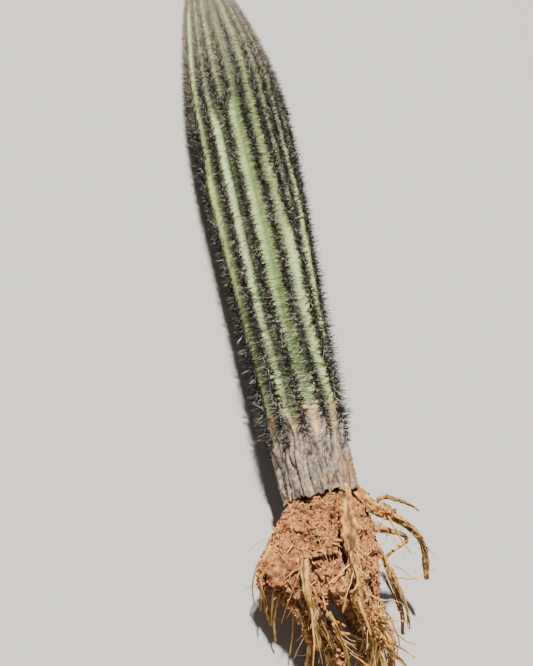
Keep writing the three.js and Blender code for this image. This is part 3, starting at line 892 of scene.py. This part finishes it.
LEDGE_PROUD = 0.005  # how far soil stands out round the ledge
LEDGE_LEFT = -0.185
LEDGE_RIGHT = -0.055
LEDGE_LOW = 0.22
LEDGE_FADE = 0.03
GULLY = [(-50, -58, 0), (-57, -84, 0), (-56, -121, 0), (-64, -158, 0), (-58, -195, 0), (-51, -225, 0),
         (-44, -250, 0), (-34, -274, 0)]  # the middle of the gap, seen from above, in millimetres
GULLY_DEEP = 0.034
GULLY_WIDE = 0.012
ROOT_BED = [  # where the main root presses into the soil, in millimetres
    (-26, -46, 335), (-35, -97, 345), (-43, -154, 350), (-45, -203, 338), (-30, -240, 316)]
BED_DEEP = 0.016
BED_WIDE = 0.028
FROM_ABOVE = np.array([1, 1, 0])
# The soil's dark layer is painted shade: in crevices between clods, in holes, in the gully and below the
# ledge.
SOIL = matte_material("soil", (colour(184, 128, 74), colour(138, 86, 46), 18, 3),
                      [("pit_shade", colour(66, 38, 22))], grain=420, depth=0.9, bump=1.0, roughness=1.0)


def soil_form(way):
    """The lump without its roughness: radii times 1 + slow waves + bulges that fade as exp(-distance^2)."""
    waves = np.sin(way[..., 0] * 6 + 1) * np.sin(way[..., 1] * 5) + np.sin(way[..., 2] * 7 + way[..., 0] * 4)
    swell = 1 + SOIL_BUMP * waves
    for toward, by, wide in SOIL_BULGES:
        away = np.linalg.norm(way - unit(np.array(toward, float)), axis=-1)
        swell = swell + by * np.exp(-((away / wide) ** 2))
    return way * SOIL_RADII * swell[..., None] + SOIL_CENTRE


def clods(point):
    """How far crumbly soil stands out, in metres, and how much painted shade a point gets, from 0 to 1: dark
    in the crevices between clods and in holes. The size of noise, |noise|, is round on top and creased at
    zero, as clods are, so it is used at four sizes."""
    lumps = [high * np.abs(soft_noise(point, size, seed)) for high, size, seed in CLODS]
    hole = np.clip(soft_noise(point, 0.02, 61) - 0.4, 0, 1)
    low = np.clip(1 - lumps[1] / 0.0034, 0, 1) * 0.7 + np.clip(1 - lumps[2] / 0.0021, 0, 1) * 0.7
    return sum(lumps) - 0.034 * hole - CLOD_MEAN, np.clip(low + 2.4 * hole, 0, 0.92)


def nearness(point, places, wide):
    """exp(-(d / wide)^2) of the distance d from points to a line through places, taken at 24 spots of it."""
    places = np.array(places, float) / 1000
    share = np.linspace(0, len(places) - 1, 24)
    line = np.stack([np.interp(share, np.arange(len(places)), places[:, k]) for k in range(3)], -1)
    nearest = np.full(point.shape[:-1], np.inf)
    for spot in line:
        nearest = np.minimum(nearest, np.sum((point - spot) ** 2, axis=-1))
    return np.exp(-nearest / wide**2)


def soil_surface(way):
    """The lump with its clods, and with the ledge where soil broke away beside the main root: below a line
    across the lump it steps back, and further down it comes out again. The soil lies lower round the main
    root, and lowest in the gully to the left of it. Its second value is painted shade, dark in crevices,
    holes, the gully and a band just below the ledge's step."""
    point = soil_form(way)
    out, pit_shade = clods(point)
    gully = nearness(point * FROM_ABOVE, GULLY, GULLY_WIDE) * smooth((point[..., 2] - 0.2) / 0.04)
    out = out - GULLY_DEEP * gully - BED_DEEP * nearness(point, ROOT_BED, BED_WIDE)
    # paint the gully dark, as painted shade
    pit_shade = np.maximum(pit_shade, 0.92 * smooth(1.6 * gully - 0.3))
    line = point[..., 1] - LEDGE_LINE + 0.008 * soft_noise(point, 0.03, 65)
    there = smooth((LEDGE_RIGHT - point[..., 0]) / LEDGE_FADE)
    there = there * smooth((point[..., 0] - LEDGE_LEFT) / LEDGE_FADE)
    there = there * smooth((point[..., 2] - LEDGE_LOW) / LEDGE_FADE)
    below = smooth(-line / 0.006) * smooth(1 + (line + 0.05) / 0.06)
    point = point + way * (out + (LEDGE_PROUD - LEDGE_DEEP * below) * there)[..., None]
    point[..., 1] = np.minimum(point[..., 1], -TOP_GAP)
    # painted shade in a band just below the ledge's step
    shade = smooth(-line / 0.005) * smooth(1 + (line + 0.008) / 0.012) * there
    return point + STEM_BASE, np.maximum(pit_shade, 0.9 * shade)


polar = np.linspace(0.02, np.pi - 0.02, SOIL_RINGS)[:, None]
turn = np.linspace(0, 2 * np.pi, SOIL_AROUND, endpoint=False)[None, :]
lump_way = np.stack([np.sin(polar) * np.sin(turn), -np.cos(polar) + 0 * turn,
                     np.sin(polar) * np.cos(turn)], -1)
lump_grid, lump_pit_shade = soil_surface(lump_way)
lump = make_object("soil_lump", *closed_tube(lump_grid), [SOIL])
add_attribute(lump, "pit_shade", lump_pit_shade)
finish_piece(lump, "soil", "soil_ball")

# %% Crumbs
CRUMBS = 8500
CRUMB_MATERIALS = [plain_material("crumb_dark", colour(104, 64, 36), 1.0),
                   plain_material("crumb_brown", colour(166, 110, 64), 1.0),
                   plain_material("crumb_pale", colour(200, 148, 92), 1.0)]
CRUMB_SHARES = [0.3, 0.5, 0.2]
CRUMB_POINTS = np.array([[1, 0, 0], [-1, 0, 0], [0, 1, 0], [0, -1, 0], [0, 0, 1], [0, 0, -1]], float)
CRUMB_FACES = np.array([[0, 2, 4], [2, 1, 4], [1, 3, 4], [3, 0, 4],
                        [2, 0, 5], [1, 2, 5], [3, 1, 5], [0, 3, 5]])
CRUMB_SMALL = 0.0014
CRUMB_SPREAD = 0.0044


def crumb_mesh(name, middle, rng):
    """Crumbs at the given middles: octahedra that are squashed and skewed, each of one of three browns."""
    count = len(middle)
    size = CRUMB_SMALL + CRUMB_SPREAD * rng.uniform(0, 1, count) ** 3
    skew = rng.normal(0, 0.35, (count, 3, 3)) + np.eye(3)
    points = middle[:, None] + np.einsum("nij,kj->nki", skew, CRUMB_POINTS) * size[:, None, None]
    kinds = np.repeat(rng.choice(3, count, p=CRUMB_SHARES), len(CRUMB_FACES))
    flat = np.clip(points.reshape(-1, 3), [-9, -9, GROUND], [9, SOIL_LINE - TOP_GAP, 9])
    return make_object(name, flat, copies(count, 6, CRUMB_FACES), CRUMB_MATERIALS, kinds, smooth=False)


crumb_chance = np.random.default_rng(31)
crumb_way = unit(crumb_chance.normal(0, 1, (CRUMBS, 3)) + np.array([-0.35, -0.1, 0.15]))
finish_piece(crumb_mesh("soil_crumbs", soil_surface(crumb_way)[0], crumb_chance), "soil")

# %% [markdown]
# ## Roots
# A root is a circle carried along a smooth curve through a few places, thinning as it goes. The real ones are
# knotty, with furrows and splits along them, so noise stretched along the root moves each point in and out.
# The deepest points, in furrows and splits, are painted dark as painted shade. Near the lump soil stains
# them. A Bevel on a curve would make the tube quicker, but every one would be as smooth as a hose.

# %% Root shapes
ROOTS = {  # radius at both ends, how knotty, and the places passed through, in millimetres from STEM_BASE
    "root_main": (0.021, 0.013, 0.3, [
        (5, 0, 290), (-30, -86, 342), (-55, -180, 348), (-35, -268, 322), (60, -366, 250), (110, -446, 150),
        (112, -530, 60)]),
    "root_right": (0.015, 0.008, 0.08, [
        (62, 0, 290), (165, -62, 312), (278, -105, 290), (352, -140, 262), (402, -178, 226),
        (452, -250, 162)]),
    "root_loop": (0.012, 0.004, 0.08, [
        (72, 0, 256), (92, -88, 288), (180, -110, 282), (262, -122, 266), (298, -140, 252), (240, -160, 250),
        (182, -184, 244)]),
    "root_right_thin": (0.009, 0.005, 0.06, [
        (88, 0, 222), (148, -150, 258), (216, -246, 222), (292, -328, 160), (338, -392, 100)]),
    "root_left_upper": (0.011, 0.007, 0.08, [
        (-45, 0, 258), (-92, -90, 266), (-138, -160, 262), (-160, -205, 270), (-145, -272, 252),
        (-84, -353, 182), (-64, -374, 158)]),
    "root_middle": (0.017, 0.012, 0.1, [
        (-10, 0, 240), (-70, -130, 268), (-112, -266, 250), (-75, -312, 220), (8, -395, 160), (60, -470, 90),
        (78, -524, 24)]),
    "root_left": (0.010, 0.007, 0.08, [
        (-80, 0, 215), (-150, -90, 150), (-176, -180, 125), (-152, -228, 148), (-112, -290, 168),
        (-62, -368, 120), (-20, -440, 24)]),
    "root_right_lower": (0.018, 0.012, 0.12, [
        (42, 0, 225), (72, -150, 240), (122, -307, 220), (190, -366, 168), (250, -418, 116),
        (322, -490, 26)]),
    "root_left_outer": (0.009, 0.005, 0.08, [
        (-98, 0, 235), (-175, -85, 215), (-221, -165, 170), (-209, -190, 150), (-186, -217, 120),
        (-155, -268, 80), (-118, -298, 40)]),
    "root_fork": (0.0095, 0.012, 0.06, [
        (22, 0, 252), (40, -150, 262), (86, -312, 215), (152, -368, 160), (200, -410, 118), (240, -462, 72)]),
    "root_low_middle": (0.012, 0.014, 0.08, [
        (-40, 0, 192), (-75, -150, 200), (-77, -272, 170), (-22, -329, 130), (24, -379, 95), (70, -431, 55)]),
    "root_low_right": (0.008, 0.009, 0.06, [
        (22, 0, 198), (45, -150, 190), (76, -275, 170), (120, -319, 130), (173, -400, 75), (199, -450, 40)]),
    "root_under_middle": (0.017, 0.010, 0.1, [(0, 0, 168), (12, -190, 74), (30, -340, 26), (4, -470, 13)]),
    "root_under_right": (0.014, 0.007, 0.08, [
        (48, 0, 158), (112, -130, 56), (188, -250, 18), (224, -368, 9)]),
    "root_back": (0.012, 0.007, 0.07, [(85, 0, 184), (188, -62, 134), (268, -118, 62), (304, -214, 12)]),
}
BENT = {"root_right", "root_loop"}  # these have a second node past their bend
ROOT_GROUND = 0.0003  # how far above the floor the lowest points of roots stay
AROUND = 36
ALONG = 0.004
ROUGH = 1.5
MAIN_ROUGH = 1.9
KNOT_LONG = 0.05
FURROW_LONG = 0.045
FURROW = 0.24  # this and the next two are shares of the root's radius
FINE_FURROW = 0.18
SPLIT_DEEP = 0.12
SPLIT_WIDE = 0.26
# The breaks are sunk into the bark and painted dark as painted shade.
BARK_BREAKS = [  # dark breaks in the main root's bark, seen from above, in millimetres
    [(-86, -176, 0), (-70, -168, 0), (-54, -172, 0), (-40, -182, 0)],
    [(-52, -200, 0), (-66, -204, 0), (-82, -198, 0)],
    [(-38, -62, 0), (-32, -80, 0), (-40, -104, 0), (-38, -132, 0)],
    [(-62, -132, 0), (-50, -146, 0), (-52, -160, 0)],
]
BREAK_DEEP = 0.005
BREAK_WIDE = 0.0045
# The bark's dark layer is painted shade in furrows, splits and breaks; stain is soil on the roots.
ROOT_BARK = matte_material("root_bark", (colour(222, 174, 88), colour(146, 97, 48), 34, 4.2),
                           [("stain", colour(176, 122, 72)), ("pit_shade", colour(66, 40, 22))],
                           grain=300, depth=1.0, bump=1.0, roughness=0.9)


def smooth_path(places, count):
    """Points evenly spaced along a Catmull-Rom curve: each stretch is a cubic whose slope at a place is half
    the way from the place before to the place after."""
    places = np.array(places, float)
    ends = np.concatenate([[2 * places[0] - places[1]], places, [2 * places[-1] - places[-2]]])
    t = np.linspace(0, 1, 60, endpoint=False)[:, None]
    parts = []
    for p0, p1, p2, p3 in zip(ends, ends[1:], ends[2:], ends[3:]):
        parts.append(0.5 * (2 * p1 + (p2 - p0) * t + (2 * p0 - 5 * p1 + 4 * p2 - p3) * t**2
                            + (3 * p1 - p0 - 3 * p2 + p3) * t**3))
    fine = np.concatenate([*parts, places[-1:]])
    length = np.concatenate([[0], np.cumsum(np.linalg.norm(np.diff(fine, axis=0), axis=1))])
    even = np.linspace(0, length[-1], count)
    return np.stack([np.interp(even, length, fine[:, k]) for k in range(3)], -1), length[-1]


def path_frames(path):
    """A sideways and an upward direction at each point, square to the path. They come from the one direction
    that the path bends least towards, so they never spin."""
    tangent = unit(np.gradient(path, axis=0))
    still = np.linalg.svd(path - path.mean(0), full_matrices=False)[2][-1]
    side = unit(np.cross(tangent, still + 0 * tangent))
    return side, np.cross(tangent, side)


def root_tube(places, thick, thin, knot, around, step, seed, rough=1.0):
    """A closed tube along a path, and the painted shade of each point, from 0 to 1: dark in splits and in the
    furrows' low points. Its radius goes from thick to thin, times 1 + knots, furrows and fine noise, less
    splits where another noise is near zero."""
    rings = max(6, int(smooth_path(places, 8)[1] / step))
    path, length = smooth_path(places, rings)
    side, up = path_frames(path)
    t = np.linspace(0, 1, rings)[:, None]
    turn = np.linspace(0, 2 * np.pi, around, endpoint=False)[None, :]
    ring = side[:, None] * np.cos(turn)[..., None] + up[:, None] * np.sin(turn)[..., None]
    knots = knot * soft_noise(np.stack([t * length / KNOT_LONG, 0 * t, 0 * t + seed], -1), 1.0, seed)
    lumps = np.stack([np.cos(turn) * 1.3 + 0 * t, np.sin(turn) * 1.3 + 0 * t,
                      t * length / FURROW_LONG + 0 * turn], -1)
    furrow = FURROW * rough * soft_noise(lumps, 1.0, seed + 3)
    fine = FINE_FURROW * rough * soft_noise(lumps * np.array([2.5, 2.5, 4]), 1.0, seed + 7)
    streak = soft_noise(lumps * np.array([1.1, 1.1, 0.4]), 1.0, seed + 11)
    split = np.clip(1 - np.abs(streak) / SPLIT_WIDE, 0, 1)
    radius = (thick + (thin - thick) * t) * (1 + knots + furrow + fine - SPLIT_DEEP * rough * split)
    grid = path[:, None] + ring * radius[..., None]
    grid[..., 2] = np.maximum(grid[..., 2], ROOT_GROUND)
    # the second value is painted shade, dark in splits and low in the furrows
    return closed_tube(grid), np.clip(0.9 * split - 2.6 * (furrow + fine), 0, 0.9)


def row_places(places):
    """Places in millimetres from the stem's base, turned into points of the row frame."""
    return np.array(places, float) / 1000 + STEM_BASE


def break_bark(points, depth):
    """Sinks the main root's surface by up to 5 mm along the breaks in its bark, and paints shade dark there.
    """
    from_above = (points - STEM_BASE) * FROM_ABOVE
    near = np.max([nearness(from_above, line, BREAK_WIDE) for line in BARK_BREAKS], axis=0)
    points[:, 2] -= BREAK_DEEP * near
    return np.maximum(depth, 0.9 * smooth(1.5 * near[:-2]).reshape(depth.shape))


def bark_piece(name, points, faces, depth=None, nodes=()):
    """A finished piece in root bark. It carries the painted shade of its points, dark in furrows and splits,
    and
    as stain how much soil covers them: by how near they are to the lump, in lump radii, and by noise."""
    piece = make_object(name, points, faces, [ROOT_BARK])
    if depth is not None:
        add_attribute(piece, "pit_shade", depth)
    off = np.linalg.norm((points - STEM_BASE - SOIL_CENTRE) / SOIL_RADII, axis=-1)
    add_attribute(piece, "stain", 0.8 * smooth((1.5 - off + 0.7 * crumbly_noise(points, 0.03, 71)) / 0.6))
    finish_piece(piece, "root_bark", *nodes)


for seed, (name, (thick, thin, knot, places)) in enumerate(ROOTS.items()):
    rough = MAIN_ROUGH if name == "root_main" else ROUGH
    (points, faces), depth = root_tube(row_places(places), thick, thin, knot, AROUND, ALONG, seed, rough)
    if name == "root_main":
        depth = break_bark(points, depth)
    nodes = [name, name + "_end"] if name in BENT else [name]
    bark_piece(name.replace("root_", "bark_"), points, faces, depth, nodes)

# %% [markdown]
# ## Side roots and rootlets
# Thin roots branch from the thick ones by one rule: start anywhere along a parent, leave it at a slant, and
# wander. More run beside the thick ones of the bundle. The rules draw from seeded generators, so they grow
# the same way on each run. Strands that stand out in the photograph have places of their own: some broaden a
# thick root or lie across the soil, others hang from the left. All of one kind are joined into a single mesh.

# %% Rootlets
REACH_LOW = np.array([cad_low.x, cad_low.y, 0]) - np.array([0.006, 0.006, -0.003])
REACH_HIGH = np.array([cad_high.x + 0.006, SOIL_LINE - 0.004, cad_high.z])
OFTEN = ("main", "middle", "lower", "fork")  # more side roots leave these
OFTEN_WEIGHT = 2.5
BUNDLE = ["root_main", "root_fork", "root_right_lower", "root_right_thin", "root_middle", "root_low_middle"]
PALE_ROOT = plain_material("pale_rootlet", colour(204, 168, 108), 0.85)
STRANDS = [  # radius at both ends, and the places passed through, all in millimetres
    (13, 15, [(72, 22, 292), (90, -8, 302), (128, -42, 306), (176, -68, 311)]),
    (13, 15, [(16, 20, 310), (0, -12, 328), (-20, -54, 337), (-36, -98, 342)]),
    (11, 12, [(48, 20, 306), (62, -14, 316), (98, -46, 308), (150, -66, 308)]),
    (7, 9, [(-12, -84, 340), (-18, -124, 345), (-22, -166, 341), (-22, -204, 330), (-8, -250, 304)]),
    (11, 13, [(-52, -168, 344), (-49, -200, 341), (-38, -234, 325), (-16, -267, 303), (16, -306, 276)]),
    (7, 4, [(130, -34, 308), (186, -17, 306), (224, -22, 303), (265, -31, 300), (313, -44, 295),
            (348, -58, 290)]),
    (4, 3, [(112, -60, 300), (170, -80, 306), (250, -104, 292), (330, -140, 268), (396, -190, 226)]),
    (4.6, 4.3, [(-108, -124, 314), (-86, -133, 329), (-61, -138, 338)]),
    (1.6, 1.0, [(-116, -82, 282), (-108, -80, 294), (-100, -78, 304), (-99, -95, 312)]),
    (1.7, 1.0, [(-143, -131, 270), (-133, -145, 289), (-122, -159, 316), (-118, -180, 322)]),
    (1.8, 1.2, [(-98, -141, 329), (-82, -149, 338), (-77, -157, 342)]),
    (2.2, 1.2, [(-185, -143, 245), (-166, -125, 252), (-136, -87, 254)]),
    (1.8, 0.9, [(-155, -163, 252), (-172, -186, 246), (-186, -207, 238), (-146, -253, 200),
                (-147, -290, 150)]),
    (1.6, 0.8, [(-141, -201, 252), (-146, -246, 222), (-130, -268, 200), (-113, -283, 180)]),
    (1.7, 0.9, [(-150, -180, 256), (-170, -230, 225), (-176, -270, 190), (-168, -300, 150)]),
    (4.5, 2.2, [(-212, -150, 196), (-226, -184, 176), (-214, -214, 146), (-190, -262, 96)]),
    (4.2, 2.0, [(-176, -172, 205), (-191, -212, 180), (-172, -262, 126), (-140, -300, 70)]),
    (5.0, 2.4, [(-148, -190, 190), (-163, -240, 150), (-150, -292, 96), (-118, -340, 44)]),
    (4.2, 2.0, [(-120, -220, 180), (-110, -276, 140), (-92, -330, 92), (-74, -380, 40)]),
    (3.0, 1.4, [(-200, -120, 170), (-216, -160, 140), (-208, -200, 100), (-180, -240, 56)]),
]
THICK_STRAND = 5
THICK_MAKE = (30, 0.004)  # points round the strand, and the step along it
THIN_MAKE = (6, 0.006)


def root_line(name, count):
    """A root's radii at both ends, even points along it, and the sideways and upward directions there."""
    thick, thin, _, places = ROOTS[name]
    path, _ = smooth_path(row_places(places), count)
    return thick, thin, path, *path_frames(path)


def round_path(path, side, up, turn, off):
    """Points round a path: at a distance off it, in the direction that an angle in radians says."""
    return path + side * (np.cos(turn) * off)[:, None] + up * (np.sin(turn) * off)[:, None]


def branch_roots(count, share, reach, seed, around, step, lean):
    """Side roots: each starts on a parent root and leaves it in a direction that is part the parent's and
    part sideways, by lean. It strays by a random walk, and is dropped if it leaves the plant's box."""
    rng = np.random.default_rng(seed)
    names = list(ROOTS)
    weight = np.array([OFTEN_WEIGHT if any(word in name for word in OFTEN) else 1 for name in names])
    parts = []
    while len(parts) < count:
        thick, thin, path, _, _ = root_line(names[rng.choice(len(names), p=weight / weight.sum())], 40)
        at = int(rng.uniform(0.2, 0.85) * 39)
        tangent = unit(path[at] - path[at - 1])
        sideways = unit(np.cross(tangent, rng.normal(0, 1, 3)))
        way = unit(tangent + sideways * lean * rng.uniform(0.3, 1.2))
        steps = np.cumsum(rng.normal(0, 0.2, (6, 3)), axis=0)
        walk = path[at] + np.arange(6)[:, None] / 5 * rng.uniform(*reach) * unit(way + 0.3 * steps)
        radius = (thick + (thin - thick) * at / 39) * rng.uniform(*share)
        if np.all(walk - radius > REACH_LOW) and np.all(walk + radius < REACH_HIGH):
            parts.append(root_tube(walk, radius, radius * 0.35, 0.12, around, step, len(parts))[0])
    return joined(parts)


def companion_roots(count, radius, seed):
    """Thin roots that run beside a thick one: its own path from some way down, moved aside and strayed."""
    rng = np.random.default_rng(seed)
    parts = []
    for name in BUNDLE:
        thick, thin, path, side, up = root_line(name, 60)
        for _ in range(count):
            first = int(rng.uniform(0.4, 0.62) * 59)
            last = int(rng.uniform(0.75, 1.0) * 59)
            turn = rng.uniform(0, 2 * np.pi) + np.linspace(0, rng.normal(0, 1.2), 60)
            off = (thick + thin) / 2 + rng.uniform(0.001, 0.014) + 0.006 * np.sin(np.arange(60) / 9 + turn[0])
            walk = round_path(path, side, up, turn, off)[first:last:4]
            walk = np.clip(walk, REACH_LOW + 0.004, REACH_HIGH - 0.004)
            thickness = rng.uniform(*radius)
            parts.append(root_tube(walk, thickness, thickness * 0.5, 0.12, 8, 0.008, len(parts))[0])
    return joined(parts)


def strand_tube(seed, thick, thin, places):
    """One strand as a tube, and the painted shade of its points. Thick ones get more points and rougher bark.
    """
    make = (*THICK_MAKE, seed, MAIN_ROUGH) if thick > THICK_STRAND else (*THIN_MAKE, seed)
    tube, depth = root_tube(row_places(places), thick / 1000, thin / 1000, 0.2, *make)
    return tube, np.append(depth, [0, 0])


strands = [strand_tube(seed, *strand) for seed, strand in enumerate(STRANDS)]
bark_piece("side_roots", *branch_roots(count=60, share=(0.22, 0.45), reach=(0.06, 0.18), seed=5,
                                       around=8, step=0.009, lean=0.8))
bark_piece("bundle_roots", *companion_roots(count=8, radius=(0.0016, 0.0044), seed=9))
bark_piece("root_strands", *joined([tube for tube, _ in strands]),
           np.concatenate([depth for _, depth in strands]))
hair = branch_roots(count=220, share=(0.07, 0.13), reach=(0.03, 0.11), seed=6, around=5, step=0.008,
                    lean=1.6)
finish_piece(make_object("rootlets", *hair, [PALE_ROOT]), "root_bark")

# %% Fibres on the soil
FIBRE_LIFT = 0.0012


def clinging_fibres(count, seed):
    """Short fibres that lie on the soil: a start direction from the lump's middle, moved on in even steps
    with a little chance, and each direction carried out to the lump's surface."""
    rng = np.random.default_rng(seed)
    parts = []
    for number in range(count):
        start = unit(rng.normal(0, 1, 3) + np.array([-0.4, -0.2, 0.2]))
        drift = rng.normal(0, 1, 3) * rng.uniform(0.02, 0.07)
        ways = unit(start + np.arange(8)[:, None] * drift + np.cumsum(rng.normal(0, 0.045, (8, 3)), axis=0))
        walk = soil_surface(ways)[0] + ways * FIBRE_LIFT
        walk[1:-1] = (walk[:-2] + 2 * walk[1:-1] + walk[2:]) / 4
        thick = rng.uniform(0.0006, 0.0013)
        parts.append(root_tube(walk, thick, thick * 0.6, 0.1, 5, 0.007, number)[0])
    return joined(parts)


finish_piece(make_object("soil_fibres", *clinging_fibres(count=120, seed=12), [PALE_ROOT]), "soil")

# %% Soil that clings to the roots
CLINGS = {  # how many crumbs stick to a root, and from which share of its length to which
    "root_low_middle": (1500, 0.3, 0.9), "root_middle": (900, 0.35, 0.8), "root_main": (500, 0.3, 0.7),
    "root_fork": (600, 0.4, 0.9), "root_low_right": (900, 0.35, 0.95), "root_left": (700, 0.3, 0.8),
    "root_right_lower": (500, 0.35, 0.8), "root_left_outer": (1500, 0.02, 0.7),
    "root_right": (300, 0.02, 0.35), "root_loop": (300, 0.02, 0.5),
}
CLUSTERS = 7
CLUSTER_SPREAD = 0.035  # as a share of the root's length


def clinging_crumbs():
    """Middles of crumbs on the roots: places along a root in clusters, at its radius, in any direction."""
    rng = np.random.default_rng(55)
    middles = []
    for name, (count, first, last) in CLINGS.items():
        thick, thin, path, side, up = root_line(name, 200)
        clusters = rng.uniform(first, last, CLUSTERS)
        share = np.clip(rng.choice(clusters, count) + rng.normal(0, CLUSTER_SPREAD, count), first, last)
        at = (share * 199).astype(int)
        turn = rng.uniform(0, 2 * np.pi, count)
        off = (thick + (thin - thick) * share) * 1.05 + np.abs(rng.normal(0, 0.004, count))
        middles.append(round_path(path[at], side[at], up[at], turn, off))
    return np.concatenate(middles), rng


finish_piece(crumb_mesh("clinging_soil", *clinging_crumbs()), "soil")

# %% [markdown]
# ## Floor and light
# The floor is plain and pale. In the photograph the light comes from beyond the tip and from high up. A Sun
# lamp lights every spot of a wide floor alike, which a panel can't do, and its angle sets how soft the
# shadows are: soft at the plant's outline, and still fine enough for the needles to draw lines on the skin. A
# dim world and a weak panel keep the far side readable.

# %% Stage
FLOOR_HALF = 40
FLOOR_LOW = -0.0004
SUN_TOWARD = Vector((-0.39, 0.47, 0.79))
SUN_AWAY = 8
SUN_POWER = 12.0
SUN_SPREAD = math.radians(3.0)
PANEL_PLACE = Vector((-3.2, -1.5, 2.4))
PANEL_AIM = Vector((-0.1, 0, 0.2))
PANEL_POWER = 6
PANEL_SIZE = 3.0
WORLD_COLOUR = (0.93, 0.95, 1.0, 1)
WORLD_POWER = 0.18


def add_lamp(name, kind, place_at, toward, power, tint):
    """A lamp of a kind at a place that shines in a direction."""
    light = bpy.data.lights.new(name, kind)
    light.energy = power
    light.color = tint
    add_object(name, light, place_at, toward.to_track_quat("-Z", "Y"))
    return light


corners = np.array([[-1, -1], [1, -1], [1, 1], [-1, 1]]) * FLOOR_HALF
floor = make_object("floor", np.column_stack([corners, np.full(4, FLOOR_LOW)]), np.array([[0, 1, 2, 3]]),
                    [plain_material("floor", colour(172, 169, 164), 0.9)], smooth=False)
sun = add_lamp("sun", "SUN", SUN_TOWARD * SUN_AWAY, -SUN_TOWARD, SUN_POWER, (1.0, 0.97, 0.92))
sun.angle = SUN_SPREAD
panel = add_lamp("fill", "AREA", PANEL_PLACE, PANEL_AIM - PANEL_PLACE, PANEL_POWER, (0.93, 0.96, 1.0))
panel.size = PANEL_SIZE
world = bpy.data.worlds.new("studio")
world.use_nodes = True
sky = world.node_tree.nodes["Background"]
sky.inputs["Color"].default_value = WORLD_COLOUR
sky.inputs["Strength"].default_value = WORLD_POWER
bpy.context.scene.world = world
print("lamps:", len(bpy.data.lights), "floor:", 2 * FLOOR_HALF, "m wide")
